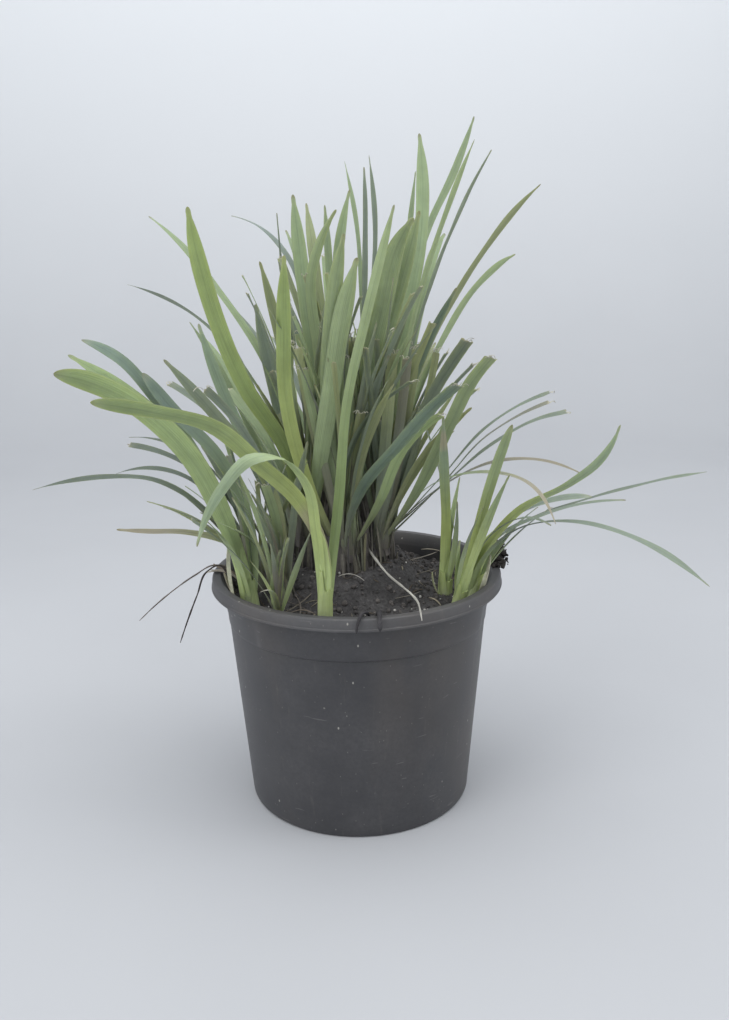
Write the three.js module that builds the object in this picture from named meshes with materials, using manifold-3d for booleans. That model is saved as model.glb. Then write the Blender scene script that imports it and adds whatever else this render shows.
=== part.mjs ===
// A liriope clump in its black nursery pot.
// Millimetres, +Z up. The origin is the centre of the pot's underside, -Y is the front, +X the right.
import * as THREE from "three";
import { mergeVertices } from "three/addons/utils/BufferGeometryUtils.js";
import Module from "manifold-3d";

const wasm = await Module();
wasm.setup();

// ---------------------------------------------------------------- driving dimensions

const GAP = 0.3; // between a piece and the neighbour that carries it
const SECTORS = 44; // round the pot and the soil

const POT = {
  rimRadius: 95,
  height: 154,
  baseRadius: 73.6,
  wallGrowth: 0.086, // how much the wall's radius grows per millimetre of height
  wall: 1.5,
  floor: 4.2,
  rimBand: 8, // height of the overhanging rim
  rimTop: 4, // width of the rim's flat top
  rimEdge: 0.9, // bevel on the band's lower edge
  collar: 2, // how far the stacking collar stands out of the wall
  collarHeight: 21, // under the rim band
  panelMiddle: -79, // azimuth of the front collar panel; a second one is opposite
  panelHalf: 55,
  recess: [47, 61, 2.5], // inner radius, outer radius and depth of the ring under the floor
  drains: 6,
  drainRadius: 4,
};

const SOIL = {
  level: 143,
  lump: 1.6, // height of its lumps
  drop: 3, // how far it has settled towards the wall
  heap: { x: 80, y: 16, height: 9, spread: 220 }, // against the right wall
  skirt: { height: 17, reach: 1.75 }, // drawn up round the rootstock, out to this share of its width
  rings: [22, 36, 48, 59, 68, 76], // radii that its top is modelled at
};

const MOUND = {
  x: -8,
  y: 8,
  halfX: 34,
  halfY: 37,
  height: 38,
  sunk: 6,
  fall: 0.35, // how much of its height the top falls towards its edge
  sides: 36,
  steps: [[1, 4], [0.95, 12], [0.87, 20]], // its flank: share of its width and height over the soil
  caps: [0.72, 0.38], // rings on its top, as a share of its width
};

const BLADE = {
  keel: 0.8, // depth of the keel under the edges, with a share of the width on top
  keelShare: 0.08,
  base: 0.45, // width where the leaf leaves its crown, of the full width, unless its row or tuft says
  fullFrom: 0.5, // where along the leaf it has its full width
  tip: 0.9, // least width
  pointed: 38, // length over which a pointed leaf narrows
  rounded: 20, // the same for a blunt one
  fine: [0, 0.2, 0.38, 0.56, 0.74, 0.88, 0.955, 1], // sections along a leaf that is stated by hand
  plain: [0, 0.3, 0.6, 0.85, 1], // sections along a leaf that fills
  apart: 1, // least room between leaves of two tufts
};

const CROWN = {
  sunk: 9, // depth under the ground
  collar: 4, // height over the ground of its full width
  sheath: 16, // height of the tapered sheath over that
  taper: 0.7, // width of the sheath's top, of its foot
  sides: 10,
};

const AXIS_UP = new THREE.Vector3(0, 0, 1);

// ---------------------------------------------------------------- small helpers

const v3 = (p) => new THREE.Vector3(p[0], p[1], p[2]);
const radians = THREE.MathUtils.degToRad;
const smooth = (x, from, to) => THREE.MathUtils.smoothstep(x, from, to);

// Random numbers from 0 to 1, the same ones on each run.
function seeded(seed) {
  let state = seed;
  return () => {
    state = (state * 1664525 + 1013904223) % 4294967296;
    return state / 4294967296;
  };
}

function between(draw, [low, high]) {
  return low + (high - low) * draw();
}

function geometryOf(positions, index) {
  const geometry = new THREE.BufferGeometry();
  geometry.setAttribute("position", new THREE.Float32BufferAttribute(positions, 3));
  geometry.setIndex(index);
  return geometry;
}

function solidOf(geometry) {
  const bare = geometry.clone();
  bare.deleteAttribute("normal");
  bare.deleteAttribute("uv");
  const merged = mergeVertices(bare, 1e-4);
  return new wasm.Manifold(
    new wasm.Mesh({
      numProp: 3,
      vertProperties: new Float32Array(merged.attributes.position.array),
      triVerts: new Uint32Array(merged.index.array),
    }),
  );
}

function meshOf(name, solid, material) {
  const made = solid.getMesh();
  const mesh = new THREE.Mesh(
    geometryOf([...made.vertProperties], [...made.triVerts]),
    material,
  );
  mesh.name = name;
  return mesh;
}

// The solids as one body. Hollows that the joining seals are filled.
function joined(solids) {
  const all = solids.reduce((sum, one) => sum.add(one));
  return all.decompose().reduce((most, body) => (body.volume() > most.volume() ? body : most));
}

const hollowed = (solid, cutters) => cutters.reduce((rest, cutter) => rest.subtract(cutter), solid);

function uprightCylinder(x, y, bottom, top, radius, sides) {
  return new THREE.CylinderGeometry(radius, radius, top - bottom, sides)
    .rotateX(Math.PI / 2)
    .translate(x, y, (bottom + top) / 2);
}

// Rings of equal count joined into one skin, with a flat cap on each end.
function skinOf(rings) {
  const sides = rings[0].length;
  const index = [];
  for (let i = 0; i + 1 < rings.length; i++) {
    for (let j = 0; j < sides; j++) {
      const a = i * sides + j;
      const b = i * sides + ((j + 1) % sides);
      index.push(a, b, b + sides, a, b + sides, a + sides);
    }
  }
  const last = (rings.length - 1) * sides;
  for (let j = 1; j + 1 < sides; j++) {
    index.push(0, j + 1, j);
    index.push(last, last + j, last + j + 1);
  }
  return geometryOf(rings.flat().flatMap((p) => p.toArray()), index);
}

// A body of revolution whose outline may change with the azimuth: outline(azimuth) lists [radius, z]
// from the bottom of the axis, round the outside, to the top of the axis.
function turned(outline) {
  const rows = outline(0).length;
  const positions = [];
  const index = [];
  const [bottom] = outline(0);
  const top = outline(0).at(-1);
  positions.push(0, 0, bottom[1], 0, 0, top[1]);
  for (let s = 0; s < SECTORS; s++) {
    const azimuth = (s * 360) / SECTORS;
    const turn = radians(azimuth);
    for (const [radius, z] of outline(azimuth).slice(1, -1)) {
      positions.push(radius * Math.cos(turn), radius * Math.sin(turn), z);
    }
  }
  const ring = rows - 2;
  for (let s = 0; s < SECTORS; s++) {
    const here = 2 + s * ring;
    const next = 2 + ((s + 1) % SECTORS) * ring;
    index.push(0, next, here);
    for (let i = 0; i + 1 < ring; i++) {
      index.push(here + i, next + i, next + i + 1, here + i, next + i + 1, here + i + 1);
    }
    index.push(here + ring - 1, next + ring - 1, 1);
  }
  return geometryOf(positions, index);
}

// A smooth curve through a few points, from t = 0 at the first to t = 1 at the last. At each point it
// has the slope of the parabola through that point and its two neighbours.
function curveThrough(points) {
  const spans = points.slice(1).map((p, i) => p.distanceTo(points[i]));
  const whole = spans.reduce((sum, span) => sum + span, 0);
  const slopes = spans.map((span, i) => points[i + 1].clone().sub(points[i]).divideScalar(span));
  const bends = points.map((_, i) => {
    if (i === 0 || i === points.length - 1) return null;
    const [before, after] = [spans[i - 1], spans[i]];
    const weighted = slopes[i - 1].clone().multiplyScalar(after).addScaledVector(slopes[i], before);
    return weighted.divideScalar(before + after);
  });
  bends[0] = slopes[0].clone().multiplyScalar(2).sub(bends[1]);
  bends[bends.length - 1] = slopes.at(-1).clone().multiplyScalar(2).sub(bends.at(-2));
  return (t) => {
    let at = t * whole;
    let i = 0;
    while (i + 1 < spans.length && at > spans[i]) {
      at -= spans[i];
      i += 1;
    }
    const u = at / spans[i];
    const rest = 1 - u;
    return points[i]
      .clone()
      .multiplyScalar(rest * rest * (1 + 2 * u))
      .addScaledVector(points[i + 1], u * u * (1 + 2 * rest))
      .addScaledVector(bends[i], u * rest * rest * spans[i])
      .addScaledVector(bends[i + 1], -u * u * rest * spans[i]);
  };
}

function tangentOf(curve, t) {
  const step = 0.01;
  const from = Math.max(0, t - step);
  const to = Math.min(1, t + step);
  return curve(to).sub(curve(from)).normalize();
}

// ---------------------------------------------------------------- pot

const wallRadius = (z) => POT.baseRadius + POT.wallGrowth * z;
const innerRadius = (z) => wallRadius(z) - POT.wall;

// Share of the collar panel at an azimuth: 1 on a panel, 0 in the plain stretches between the two.
function panelShare(azimuth) {
  const turn = (((azimuth - POT.panelMiddle) % 180) + 180) % 180;
  const off = Math.min(turn, 180 - turn);
  return 1 - smooth(off, POT.panelHalf - 3, POT.panelHalf + 2);
}

function potOutline(azimuth) {
  const bandBottom = POT.height - POT.rimBand;
  const panel = panelShare(azimuth);
  const stepTop = bandBottom - POT.collarHeight;
  const stepBottom = stepTop - 1.5;
  const flare = POT.collar * 0.25 * (1 - panel);
  const [recessIn, recessOut, recessDepth] = POT.recess;
  return [
    [0, 0],
    [recessIn - 2, 0],
    [recessIn, recessDepth],
    [recessOut, recessDepth],
    [recessOut + 2, 0],
    [POT.baseRadius - 2, 0],
    [POT.baseRadius, 2],
    [wallRadius(stepBottom), stepBottom],
    [wallRadius(stepTop) + POT.collar * panel + flare, stepTop],
    [wallRadius(bandBottom) + POT.collar + 0.4, bandBottom],
    [POT.rimRadius - POT.rimEdge, bandBottom],
    [POT.rimRadius, bandBottom + POT.rimEdge],
    [POT.rimRadius - 0.7, POT.height - 1.6],
    [POT.rimRadius - 2, POT.height],
    [POT.rimRadius - 2 - POT.rimTop, POT.height],
    [POT.rimRadius - 3.4 - POT.rimTop, POT.height - 1.4],
    [innerRadius(POT.height - 5) + 0.4, POT.height - 5],
    [innerRadius(POT.floor) - 1.5, POT.floor + 1.5],
    [innerRadius(POT.floor) - 4, POT.floor],
    [0, POT.floor],
  ];
}

function potSolid() {
  const [recessIn, recessOut] = POT.recess;
  const ringRadius = (recessIn + recessOut) / 2;
  let pot = solidOf(turned(potOutline));
  for (let i = 0; i < POT.drains; i++) {
    const turn = (i * 2 * Math.PI) / POT.drains;
    const x = ringRadius * Math.cos(turn);
    const y = ringRadius * Math.sin(turn);
    const drain = uprightCylinder(x, y, -1, POT.floor + 1, POT.drainRadius, 8);
    pot = pot.subtract(solidOf(drain));
  }
  return pot;
}

// ---------------------------------------------------------------- soil and rootstock

// A bumpy ground from a few crossing waves, about -2 to 2.
function lumps(x, y) {
  return (
    Math.sin(x / 7.3 + 0.6) * Math.cos(y / 6.1 - 0.4) +
    0.7 * Math.sin(x / 3.9 - y / 4.7) +
    0.5 * Math.cos(x / 15 + y / 11)
  );
}

// How far a place is from the middle of the rootstock, as a share of the rootstock's width.
function offMound(x, y) {
  return Math.hypot((x - MOUND.x) / MOUND.halfX, (y - MOUND.y) / MOUND.halfY);
}

function soilTop(x, y) {
  const radius = Math.hypot(x, y);
  const settled = SOIL.drop * smooth(radius, 45, 85);
  const { heap, skirt } = SOIL;
  const heaped = heap.height * Math.exp(-((x - heap.x) ** 2 + (y - heap.y) ** 2) / heap.spread);
  const drawnUp = skirt.height * (1 - smooth(offMound(x, y), 1, skirt.reach));
  return SOIL.level - settled + heaped + drawnUp + SOIL.lump * lumps(x, y);
}

function soilSolid() {
  const outline = (azimuth) => {
    const turn = radians(azimuth);
    const topAt = (r) => soilTop(r * Math.cos(turn), r * Math.sin(turn));
    const edge = innerRadius(SOIL.level) - GAP - 0.2;
    const foot = innerRadius(POT.floor) - 4.5;
    const bottom = POT.floor + GAP;
    return [
      [0, bottom],
      [foot, bottom],
      [foot + 2.4, bottom + 2.6],
      [edge, topAt(edge)],
      ...SOIL.rings.toReversed().map((r) => [r, topAt(r)]),
      [0, soilTop(0, 0)],
    ];
  };
  return solidOf(turned(outline));
}

// The ridged outline of the rootstock in plan, grown by a margin: the place at a share of the way out.
function moundOutline(turn, margin) {
  const ridge = 1 + 0.035 * Math.sin(11 * turn) + 0.03 * Math.sin(17 * turn + 1) + 0.04 * Math.sin(3 * turn);
  return (share) => [
    MOUND.x + (MOUND.halfX * ridge * share + margin) * Math.cos(turn),
    MOUND.y + (MOUND.halfY * ridge * share + margin) * Math.sin(turn),
  ];
}

function moundTop(x, y) {
  const rise = MOUND.height * (1 - MOUND.fall * offMound(x, y) ** 2);
  return SOIL.level + rise + 0.8 * lumps(1.7 * x, 1.7 * y);
}

function moundSolid(margin) {
  const ringOf = (share, grown, heightAt) =>
    Array.from({ length: MOUND.sides }, (_, i) => {
      const [x, y] = moundOutline((i * 2 * Math.PI) / MOUND.sides, grown)(share);
      return new THREE.Vector3(x, y, heightAt(x, y));
    });
  const foot = ringOf(1, margin, () => SOIL.level - MOUND.sunk - margin);
  const flank = MOUND.steps.map(([share, over]) => ringOf(share, margin, () => SOIL.level + over));
  const top = MOUND.caps.map((share) => ringOf(share, 0, (x, y) => moundTop(x, y) + margin));
  return solidOf(skinOf([foot, ...flank, ...top]));
}

const groundAt = (x, y) => (offMound(x, y) < 1 ? moundTop(x, y) : soilTop(x, y));

// ---------------------------------------------------------------- leaves

// What a taper over the last stretch of a leaf has left of 1: the higher the power, the blunter.
function taper(left, stretch, power) {
  return 1 - Math.pow(Math.max(0, 1 - left / stretch), power);
}

// How wide a leaf is, of its full width, by how it ends and how much of its length is left.
const ENDS = {
  point: (left) => taper(left, BLADE.pointed, 2.2),
  blunt: (left) => Math.sqrt(Math.max(0.08, taper(left, BLADE.rounded, 2))),
  cut: () => 1,
};

function widthAt(leaf, t) {
  const swell = leaf.base + (1 - leaf.base) * smooth(t, 0, BLADE.fullFrom);
  return Math.max(BLADE.tip, leaf.width * swell * ENDS[leaf.end]((1 - t) * leaf.length));
}

// The leaf laid along its points, with the length that they give it.
function laidAlong(leaf, points) {
  const length = points.slice(1).reduce((sum, point, i) => sum + point.distanceTo(points[i]), 0);
  return { ...leaf, length, curve: curveThrough(points) };
}

// The side direction of a leaf: its stated azimuth, kept square to the leaf's run, then rolled.
function sideOf(leaf, tangent, t) {
  const turn = radians(leaf.across);
  const side = new THREE.Vector3(Math.cos(turn), Math.sin(turn), 0);
  side.addScaledVector(tangent, -side.dot(tangent)).normalize();
  return side.applyAxisAngle(tangent, radians(leaf.roll * t));
}

// A keeled blade: each section is a flat triangle, its two edges over its keel.
function leafSolid(leaf) {
  const stations = leaf.fine ? BLADE.fine : BLADE.plain;
  const rings = stations.map((t) => {
    const centre = leaf.curve(t);
    const tangent = tangentOf(leaf.curve, t);
    const side = sideOf(leaf, tangent, t);
    const up = tangent.clone().cross(side).normalize();
    const width = widthAt(leaf, t);
    const keel = BLADE.keel + BLADE.keelShare * width;
    const right = centre.clone().addScaledVector(side, width / 2).addScaledVector(up, keel / 2);
    const left = centre.clone().addScaledVector(side, -width / 2).addScaledVector(up, keel / 2);
    const under = centre.clone().addScaledVector(up, -keel / 2);
    return [right, left, under];
  });
  return solidOf(skinOf(rings));
}

// A leaf by hand: its width, the azimuth that its width runs along (0 faces the front), how it ends, and
// its points from the middle to the tip.
function leaf(width, across, end, ...points) {
  return { width, across, end, points, roll: 0, fine: true };
}

// The leaf with its blade turned about its own run towards the tip.
const rolled = (roll, row) => ({ ...row, roll });

// The leaf with another width at its foot.
const footed = (base, row) => ({ ...row, base });

// The run of the front leaf that folds over to the left and hangs down.
const FOLDED_RUN = [
  [-22, -76, 200],
  [-27, -82, 232],
  [-40, -90, 248],
  [-55, -98, 249],
  [-70, -109, 235],
  [-83, -121, 207],
];

// The run of the longest front leaf, up and out to the left.
const FRONT_RUN = [
  [-21, -73, 198],
  [-33, -78, 222],
  [-51, -86, 242],
  [-74, -96, 266],
  [-104, -108, 277],
  [-134, -117, 284],
];

// The runs of the two low leaves that reach furthest to the left.
const LOW_RUN = [
  [-88, -24, 196],
  [-123, -38, 225],
  [-144, -48, 229],
  [-184, -70, 227],
];

const LOWEST_RUN = [
  [-78, -25, 179],
  [-105, -34, 190],
  [-125, -42, 193],
  [-143, -50, 197],
];

// The run of the right leaf that droops in front of the pot's rim.
const DROOPING_RUN = [
  [83, -38, 176],
  [99, -50, 194],
  [130, -72, 203],
  [158, -96, 199],
  [190, -121, 180],
];

// The run of the right leaf that turns up again at its tip.
const RISING_RUN = [
  [83, -33, 179],
  [100, -40, 202],
  [128, -48, 220],
  [144, -54, 235],
  [153, -62, 258],
];

// The run of the front leaf that stands up and leans to the right.
const UPRIGHT_RUN = [
  [-14, -68, 178],
  [-9, -65, 217],
  [-3, -58, 274],
  [9, -54, 323],
  [25, -48, 381],
];

const TUFTS = [
  {
    name: "fan_left",
    at: [-65, -38],
    foot: 5.5,
    base: 0.85,
    colour: 0x86a04f,
    leaves: [
      leaf(12.5, 15, "blunt", [-78, -50, 202], [-99, -64, 251], [-133, -80, 285], [-159, -92, 296]),
      leaf(8.5, 30, "point", [-76, -43, 194], [-102, -48, 251], [-132, -58, 283], [-158, -66, 303]),
      leaf(8, 35, "blunt", [-92, -26, 227], [-121, -19, 271], [-141, -18, 295], [-163, -18, 307]),
      leaf(8.5, 30, "blunt", [-84, -30, 238], [-106, -26, 261], [-127, -22, 287]),
    ],
    fill: { count: 2, heading: [190, 260], lean: [8, 20], length: [60, 90], width: [5, 7], cut: 0 },
  },
  {
    name: "fan_left_mid",
    at: [-44, -34],
    foot: 6,
    base: 0.6,
    colour: 0x6d8a4c,
    leaves: [
      leaf(7, 25, "point", [-56, -38, 229], [-73, -46, 255], [-106, -60, 299]),
      leaf(7, 10, "point", [-57, -26, 226], [-74, -24, 263], [-93, -12, 315]),
      leaf(5, 40, "cut", [-62, -46, 250], [-83, -66, 283]),
      rolled(-25, leaf(4.5, 60, "cut", [-78, -20, 251], [-114, -8, 279])),
    ],
    fill: { count: 4, heading: [180, 320], lean: [6, 26], length: [45, 110], width: [4, 6], cut: 0.2 },
  },
  {
    name: "shoot_left",
    at: [-47, -57],
    foot: 3.5,
    base: 0.6,
    colour: 0x76984c,
    leaves: [
      leaf(5.5, 20, "point", [-49, -60, 165], [-44, -64, 187]),
      leaf(4, 10, "point", [-45, -59, 168], [-40, -58, 193]),
      leaf(4.5, 30, "point", [-37, -58, 169], [-26, -56, 196]),
    ],
    fill: { count: 1, heading: [180, 240], lean: [10, 20], length: [30, 45], width: [3, 4], cut: 0 },
  },
  {
    name: "tuft_low_left",
    at: [-60, -10],
    foot: 6,
    colour: 0x62804a,
    leaves: [
      rolled(-20, leaf(4, 85, "point", [-101, 10, 226], [-124, 18, 237], [-149, 24, 239])),
      rolled(-35, leaf(4.5, 75, "cut", [-92, 0, 214], [-114, 4, 228], [-147, 14, 236])),
      rolled(-25, leaf(5, 80, "point", ...LOW_RUN)),
      rolled(-20, leaf(5, 80, "point", [-88, -8, 202], [-105, -6, 217], [-132, 2, 223], [-158, 8, 217])),
      rolled(-15, leaf(6, 60, "point", ...LOWEST_RUN)),
    ],
    fill: { count: 4, heading: [120, 190], lean: [15, 45], length: [70, 110], width: [4, 5.5], cut: 0.2 },
  },
  {
    name: "fan_front",
    at: [-19, -70],
    foot: 4.5,
    base: 0.8,
    colour: 0xa5b35c,
    leaves: [
      rolled(-55, leaf(7, 0, "point", ...FOLDED_RUN)),
      leaf(9.5, 10, "blunt", ...FRONT_RUN),
      leaf(5.5, 0, "point", ...UPRIGHT_RUN),
    ],
    fill: { count: 0, heading: [250, 280], lean: [3, 8], length: [50, 70], width: [6, 7], cut: 0 },
  },
  {
    name: "tuft_left",
    at: [-30, 0],
    foot: 8,
    colour: 0x5f7d47,
    leaves: [
      footed(0.8, leaf(10, 5, "point", [-43, -16, 238], [-64, -28, 277], [-82, -35, 330], [-91, -40, 382])),
      leaf(5.5, 40, "point", [-60, 14, 296], [-87, 22, 336], [-108, 28, 362], [-128, 34, 379]),
      rolled(-20, leaf(3.8, 75, "point", [-74, 26, 288], [-96, 36, 311], [-121, 48, 326], [-151, 62, 336])),
      leaf(6.5, 15, "point", [-44, 4, 297], [-55, -6, 351]),
      leaf(11, 5, "point", [-20, -33, 237], [-12, -40, 281], [-6, -46, 316], [4, -52, 353]),
      leaf(9, 0, "point", [-50, 12, 271], [-60, 6, 325]),
      leaf(6, 10, "cut", [-40, -4, 250], [-38, -14, 303]),
    ],
    fill: { count: 8, heading: [140, 230], lean: [6, 30], length: [70, 130], width: [5, 8], cut: 0.3 },
  },
  {
    name: "tuft_front",
    at: [-6, -17],
    foot: 8,
    colour: 0x68874a,
    leaves: [
      footed(0.8, leaf(8.5, 0, "point", [-31, -36, 228], [-39, -46, 273], [-38, -56, 320], [-36, -62, 355])),
      leaf(9, 5, "point", [-15, -34, 272], [-10, -46, 330], [-3, -58, 366]),
      leaf(8.5, 10, "cut", [2, -40, 212], [27, -66, 250], [48, -80, 276], [58, -88, 286]),
      leaf(6.5, 10, "cut", [15, -38, 208], [30, -50, 244], [51, -64, 266]),
      leaf(5, 40, "cut", [8, -34, 258], [35, -42, 282]),
      leaf(7, 0, "cut", [-14, -24, 250], [-28, -30, 288]),
      leaf(7, 10, "cut", [-3, -26, 250], [-3, -32, 296]),
    ],
    fill: { count: 7, heading: [215, 325], lean: [4, 20], length: [70, 130], width: [5, 8], cut: 0.35 },
  },
  {
    name: "tuft_centre",
    at: [0, 8],
    foot: 8,
    colour: 0x5c7a45,
    leaves: [
      leaf(9, 5, "point", [-26, 12, 300], [-32, 14, 357], [-35, 14, 390]),
      leaf(6.5, -10, "point", [-22, 0, 300], [-24, -4, 343], [-8, -12, 380]),
      leaf(6.5, 10, "point", [-9, 4, 309], [-7, 5, 360], [0, 6, 392]),
      leaf(5, 50, "point", [13, 18, 326], [15, 22, 374], [12, 26, 413]),
      leaf(8.2, 0, "point", [32, 10, 305], [44, 16, 371], [43, 24, 425]),
      leaf(7, 10, "cut", [0, 0, 250], [0, -4, 306]),
      leaf(7, 0, "cut", [12, 2, 250], [23, 4, 300]),
    ],
    fill: { count: 7, heading: [0, 360], lean: [2, 12], length: [110, 175], width: [5.5, 8.5], cut: 0.35 },
  },
  {
    name: "tuft_right",
    at: [15, -5],
    foot: 8,
    colour: 0x5d7b49,
    leaves: [
      leaf(4.5, 40, "point", [43, 8, 331], [61, 16, 383], [77, 24, 421]),
      leaf(12, -5, "point", [9, -18, 281], [19, -27, 328], [27, -34, 359], [36, -42, 374]),
      leaf(6, 15, "point", [46, -8, 300], [63, -16, 334]),
      leaf(8.5, 15, "cut", [45, -20, 264], [61, -32, 294], [68, -38, 305]),
      leaf(9, 15, "cut", [42, -30, 219], [57, -46, 257], [70, -58, 286], [79, -64, 298]),
      leaf(5, 45, "cut", [52, -4, 260], [76, 2, 286]),
      rolled(20, leaf(4.5, 80, "cut", [57, 0, 216], [86, 4, 247], [126, 8, 267])),
      rolled(15, leaf(6, 65, "cut", [54, -14, 212], [82, -28, 247], [116, -40, 268])),
      rolled(25, leaf(4.5, 80, "cut", [60, 6, 210], [91, 16, 233], [116, 24, 245], [142, 32, 250])),
      rolled(25, leaf(4, 80, "point", [56, 8, 206], [97, 26, 219], [155, 46, 205])),
      rolled(20, leaf(3.8, 75, "point", [48, -16, 213], [86, -40, 226], [105, -72, 222], [112, -92, 208])),
    ],
    fill: { count: 7, heading: [-50, 20], lean: [6, 34], length: [70, 120], width: [4.5, 7], cut: 0.4 },
  },
  {
    name: "tuft_back",
    at: [-10, 34],
    foot: 8,
    colour: 0x567342,
    leaves: [
      leaf(6, 55, "point", [-31, 56, 305], [-41, 68, 348], [-61, 82, 371], [-83, 93, 380]),
      leaf(4.5, 70, "point", [-42, 52, 306], [-50, 74, 381]),
      leaf(7.5, 25, "point", [-22, 48, 325], [-30, 74, 387]),
      leaf(7, 50, "point", [-28, 62, 320], [-46, 98, 370]),
      leaf(7, 45, "point", [-14, 40, 320], [-17, 56, 385]),
      leaf(5, 55, "point", [6, 52, 324], [4, 68, 366], [-4, 88, 414]),
      leaf(5.5, 50, "point", [8, 42, 335], [9, 54, 408]),
      leaf(8, 20, "cut", [-24, 36, 255], [-35, 36, 305]),
    ],
    fill: { count: 11, heading: [70, 150], lean: [6, 38], length: [100, 190], width: [5.5, 8], cut: 0.2 },
  },
  {
    name: "tuft_back_right",
    at: [15, 32],
    foot: 8,
    colour: 0x587644,
    leaves: [
      leaf(6.5, 45, "point", [34, 40, 325], [51, 56, 371], [70, 76, 408], [84, 94, 442]),
      leaf(5, 60, "point", [47, 58, 316], [74, 94, 378], [100, 124, 423]),
      leaf(8, 35, "point", [44, 64, 312], [59, 94, 357], [66, 108, 366]),
      rolled(-30, leaf(6, 65, "point", [54, 40, 301], [84, 56, 349], [105, 68, 375], [128, 80, 397])),
      leaf(8, 55, "point", [56, 46, 290], [87, 72, 333], [115, 100, 351]),
      leaf(12, 15, "point", [27, 44, 295], [45, 60, 336]),
      leaf(6, 55, "point", [36, 58, 350], [44, 88, 407]),
      leaf(7, 15, "cut", [22, 34, 250], [37, 38, 296]),
    ],
    fill: { count: 9, heading: [10, 70], lean: [6, 36], length: [90, 160], width: [5, 8], cut: 0.3 },
  },
  {
    name: "fan_back_left",
    at: [-42, 56],
    foot: 7,
    colour: 0x66834a,
    leaves: [],
    fill: { count: 9, heading: [85, 175], lean: [10, 42], length: [110, 190], width: [6, 9], cut: 0.1 },
  },
  {
    name: "fan_right_inner",
    at: [56, -22],
    foot: 4.5,
    base: 0.85,
    colour: 0x8fae58,
    leaves: [
      footed(1.2, leaf(6, 5, "point", [56, -33, 195], [53.5, -48, 229], [52, -57, 263.5])),
      leaf(4, 20, "point", [60, -22, 188], [66, -16, 218]),
      leaf(4, 10, "point", [62, -29, 178], [63, -30, 206]),
    ],
    fill: { count: 0, heading: [60, 120], lean: [4, 12], length: [40, 60], width: [4, 5], cut: 0 },
  },
  {
    name: "fan_right_mid",
    at: [62, -41],
    foot: 4.5,
    base: 0.85,
    colour: 0x93b05a,
    leaves: [
      leaf(7, 15, "blunt", [72, -44, 181], [80, -49, 217], [92, -56, 258]),
      leaf(6.5, 25, "point", [78, -50, 194], [91, -56, 228]),
      leaf(4.5, 50, "point", [67, -52, 184], [76, -58, 210]),
    ],
    fill: { count: 1, heading: [270, 320], lean: [6, 14], length: [35, 50], width: [4, 5], cut: 0 },
  },
  {
    name: "fan_right_outer",
    at: [70, -27],
    foot: 4.5,
    base: 0.85,
    colour: 0x7f9f56,
    leaves: [
      leaf(7, 12, "point", ...RISING_RUN),
      rolled(20, leaf(7, 60, "blunt", [90, -22, 186], [120, -14, 200], [152, -4, 201])),
      rolled(20, leaf(3.4, 80, "point", [89, -16, 178], [119, -6, 190], [157, 10, 197], [246, 56, 202])),
      rolled(15, leaf(5, 75, "point", [90, -28, 182], [115, -30, 196], [166, -34, 206])),
      leaf(7, 42, "point", ...DROOPING_RUN),
      leaf(5.5, 55, "point", [87, -44, 192], [98, -54, 201], [113, -74, 202]),
    ],
    fill: { count: 2, heading: [0, 50], lean: [20, 40], length: [60, 90], width: [4, 5], cut: 0.3 },
  },
];

// A leaf drawn by the tuft's rule: it leaves the crown at a lean and arches over a little more.
function filledLeaf(tuft, draw) {
  const heading = radians(between(draw, tuft.fill.heading));
  const lean = radians(between(draw, tuft.fill.lean));
  const length = between(draw, tuft.fill.length);
  const width = between(draw, tuft.fill.width);
  const arch = 0.12 + 0.2 * draw();
  const across = THREE.MathUtils.radToDeg(heading) + 90 + between(draw, [-45, 45]);
  const end = draw() < tuft.fill.cut ? "cut" : "point";
  const run = (share, sag) => {
    const out = length * share * Math.sin(lean) + length * sag * Math.cos(lean) * 0.5;
    return [
      tuft.at[0] + out * Math.cos(heading),
      tuft.at[1] + out * Math.sin(heading),
      tuft.top + length * share * Math.cos(lean) - length * sag * Math.sin(lean),
    ];
  };
  const points = [run(0.52, 0.1 * arch), run(1, arch)];
  return { width, across, end, points, roll: between(draw, [-25, 25]), fine: false };
}

// The whole run of a leaf. It is rooted in its crown on the side that it leans to, a step beside the last
// one.
function rootedLeaf(tuft, row) {
  const [x, y] = tuft.at;
  const middle = row.points[0];
  const heading = Math.atan2(middle[1] - y, middle[0] - x);
  const leaning = Math.hypot(middle[0] - x, middle[1] - y) / (middle[2] - tuft.top);
  const room = tuft.foot - 2.5;
  const off = room * Math.min(1, 2 * leaning);
  const beside = 1.6 * room * (((tuft.grown.length * 0.618) % 1) - 0.5);
  const root = new THREE.Vector3(
    x + off * Math.cos(heading) - beside * Math.sin(heading),
    y + off * Math.sin(heading) + beside * Math.cos(heading),
    tuft.top - 2,
  );
  const base = row.base ?? tuft.base ?? BLADE.base;
  const grown = laidAlong({ ...row, base }, [root, ...row.points.map(v3)]);
  return { ...grown, samples: Array.from({ length: 21 }, (_, i) => grown.curve(i / 20)) };
}

function pointToSegment(point, from, to) {
  const run = to.clone().sub(from);
  const along = THREE.MathUtils.clamp(point.clone().sub(from).dot(run) / run.lengthSq(), 0, 1);
  return from.clone().addScaledVector(run, along).distanceTo(point);
}

function isClear(candidate, others) {
  return others.every((other) => {
    const reach = (candidate.width + other.width) / 2 + BLADE.apart;
    return candidate.samples.every((point) =>
      other.samples.slice(1).every((to, i) => pointToSegment(point, other.samples[i], to) > reach),
    );
  });
}

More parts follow.
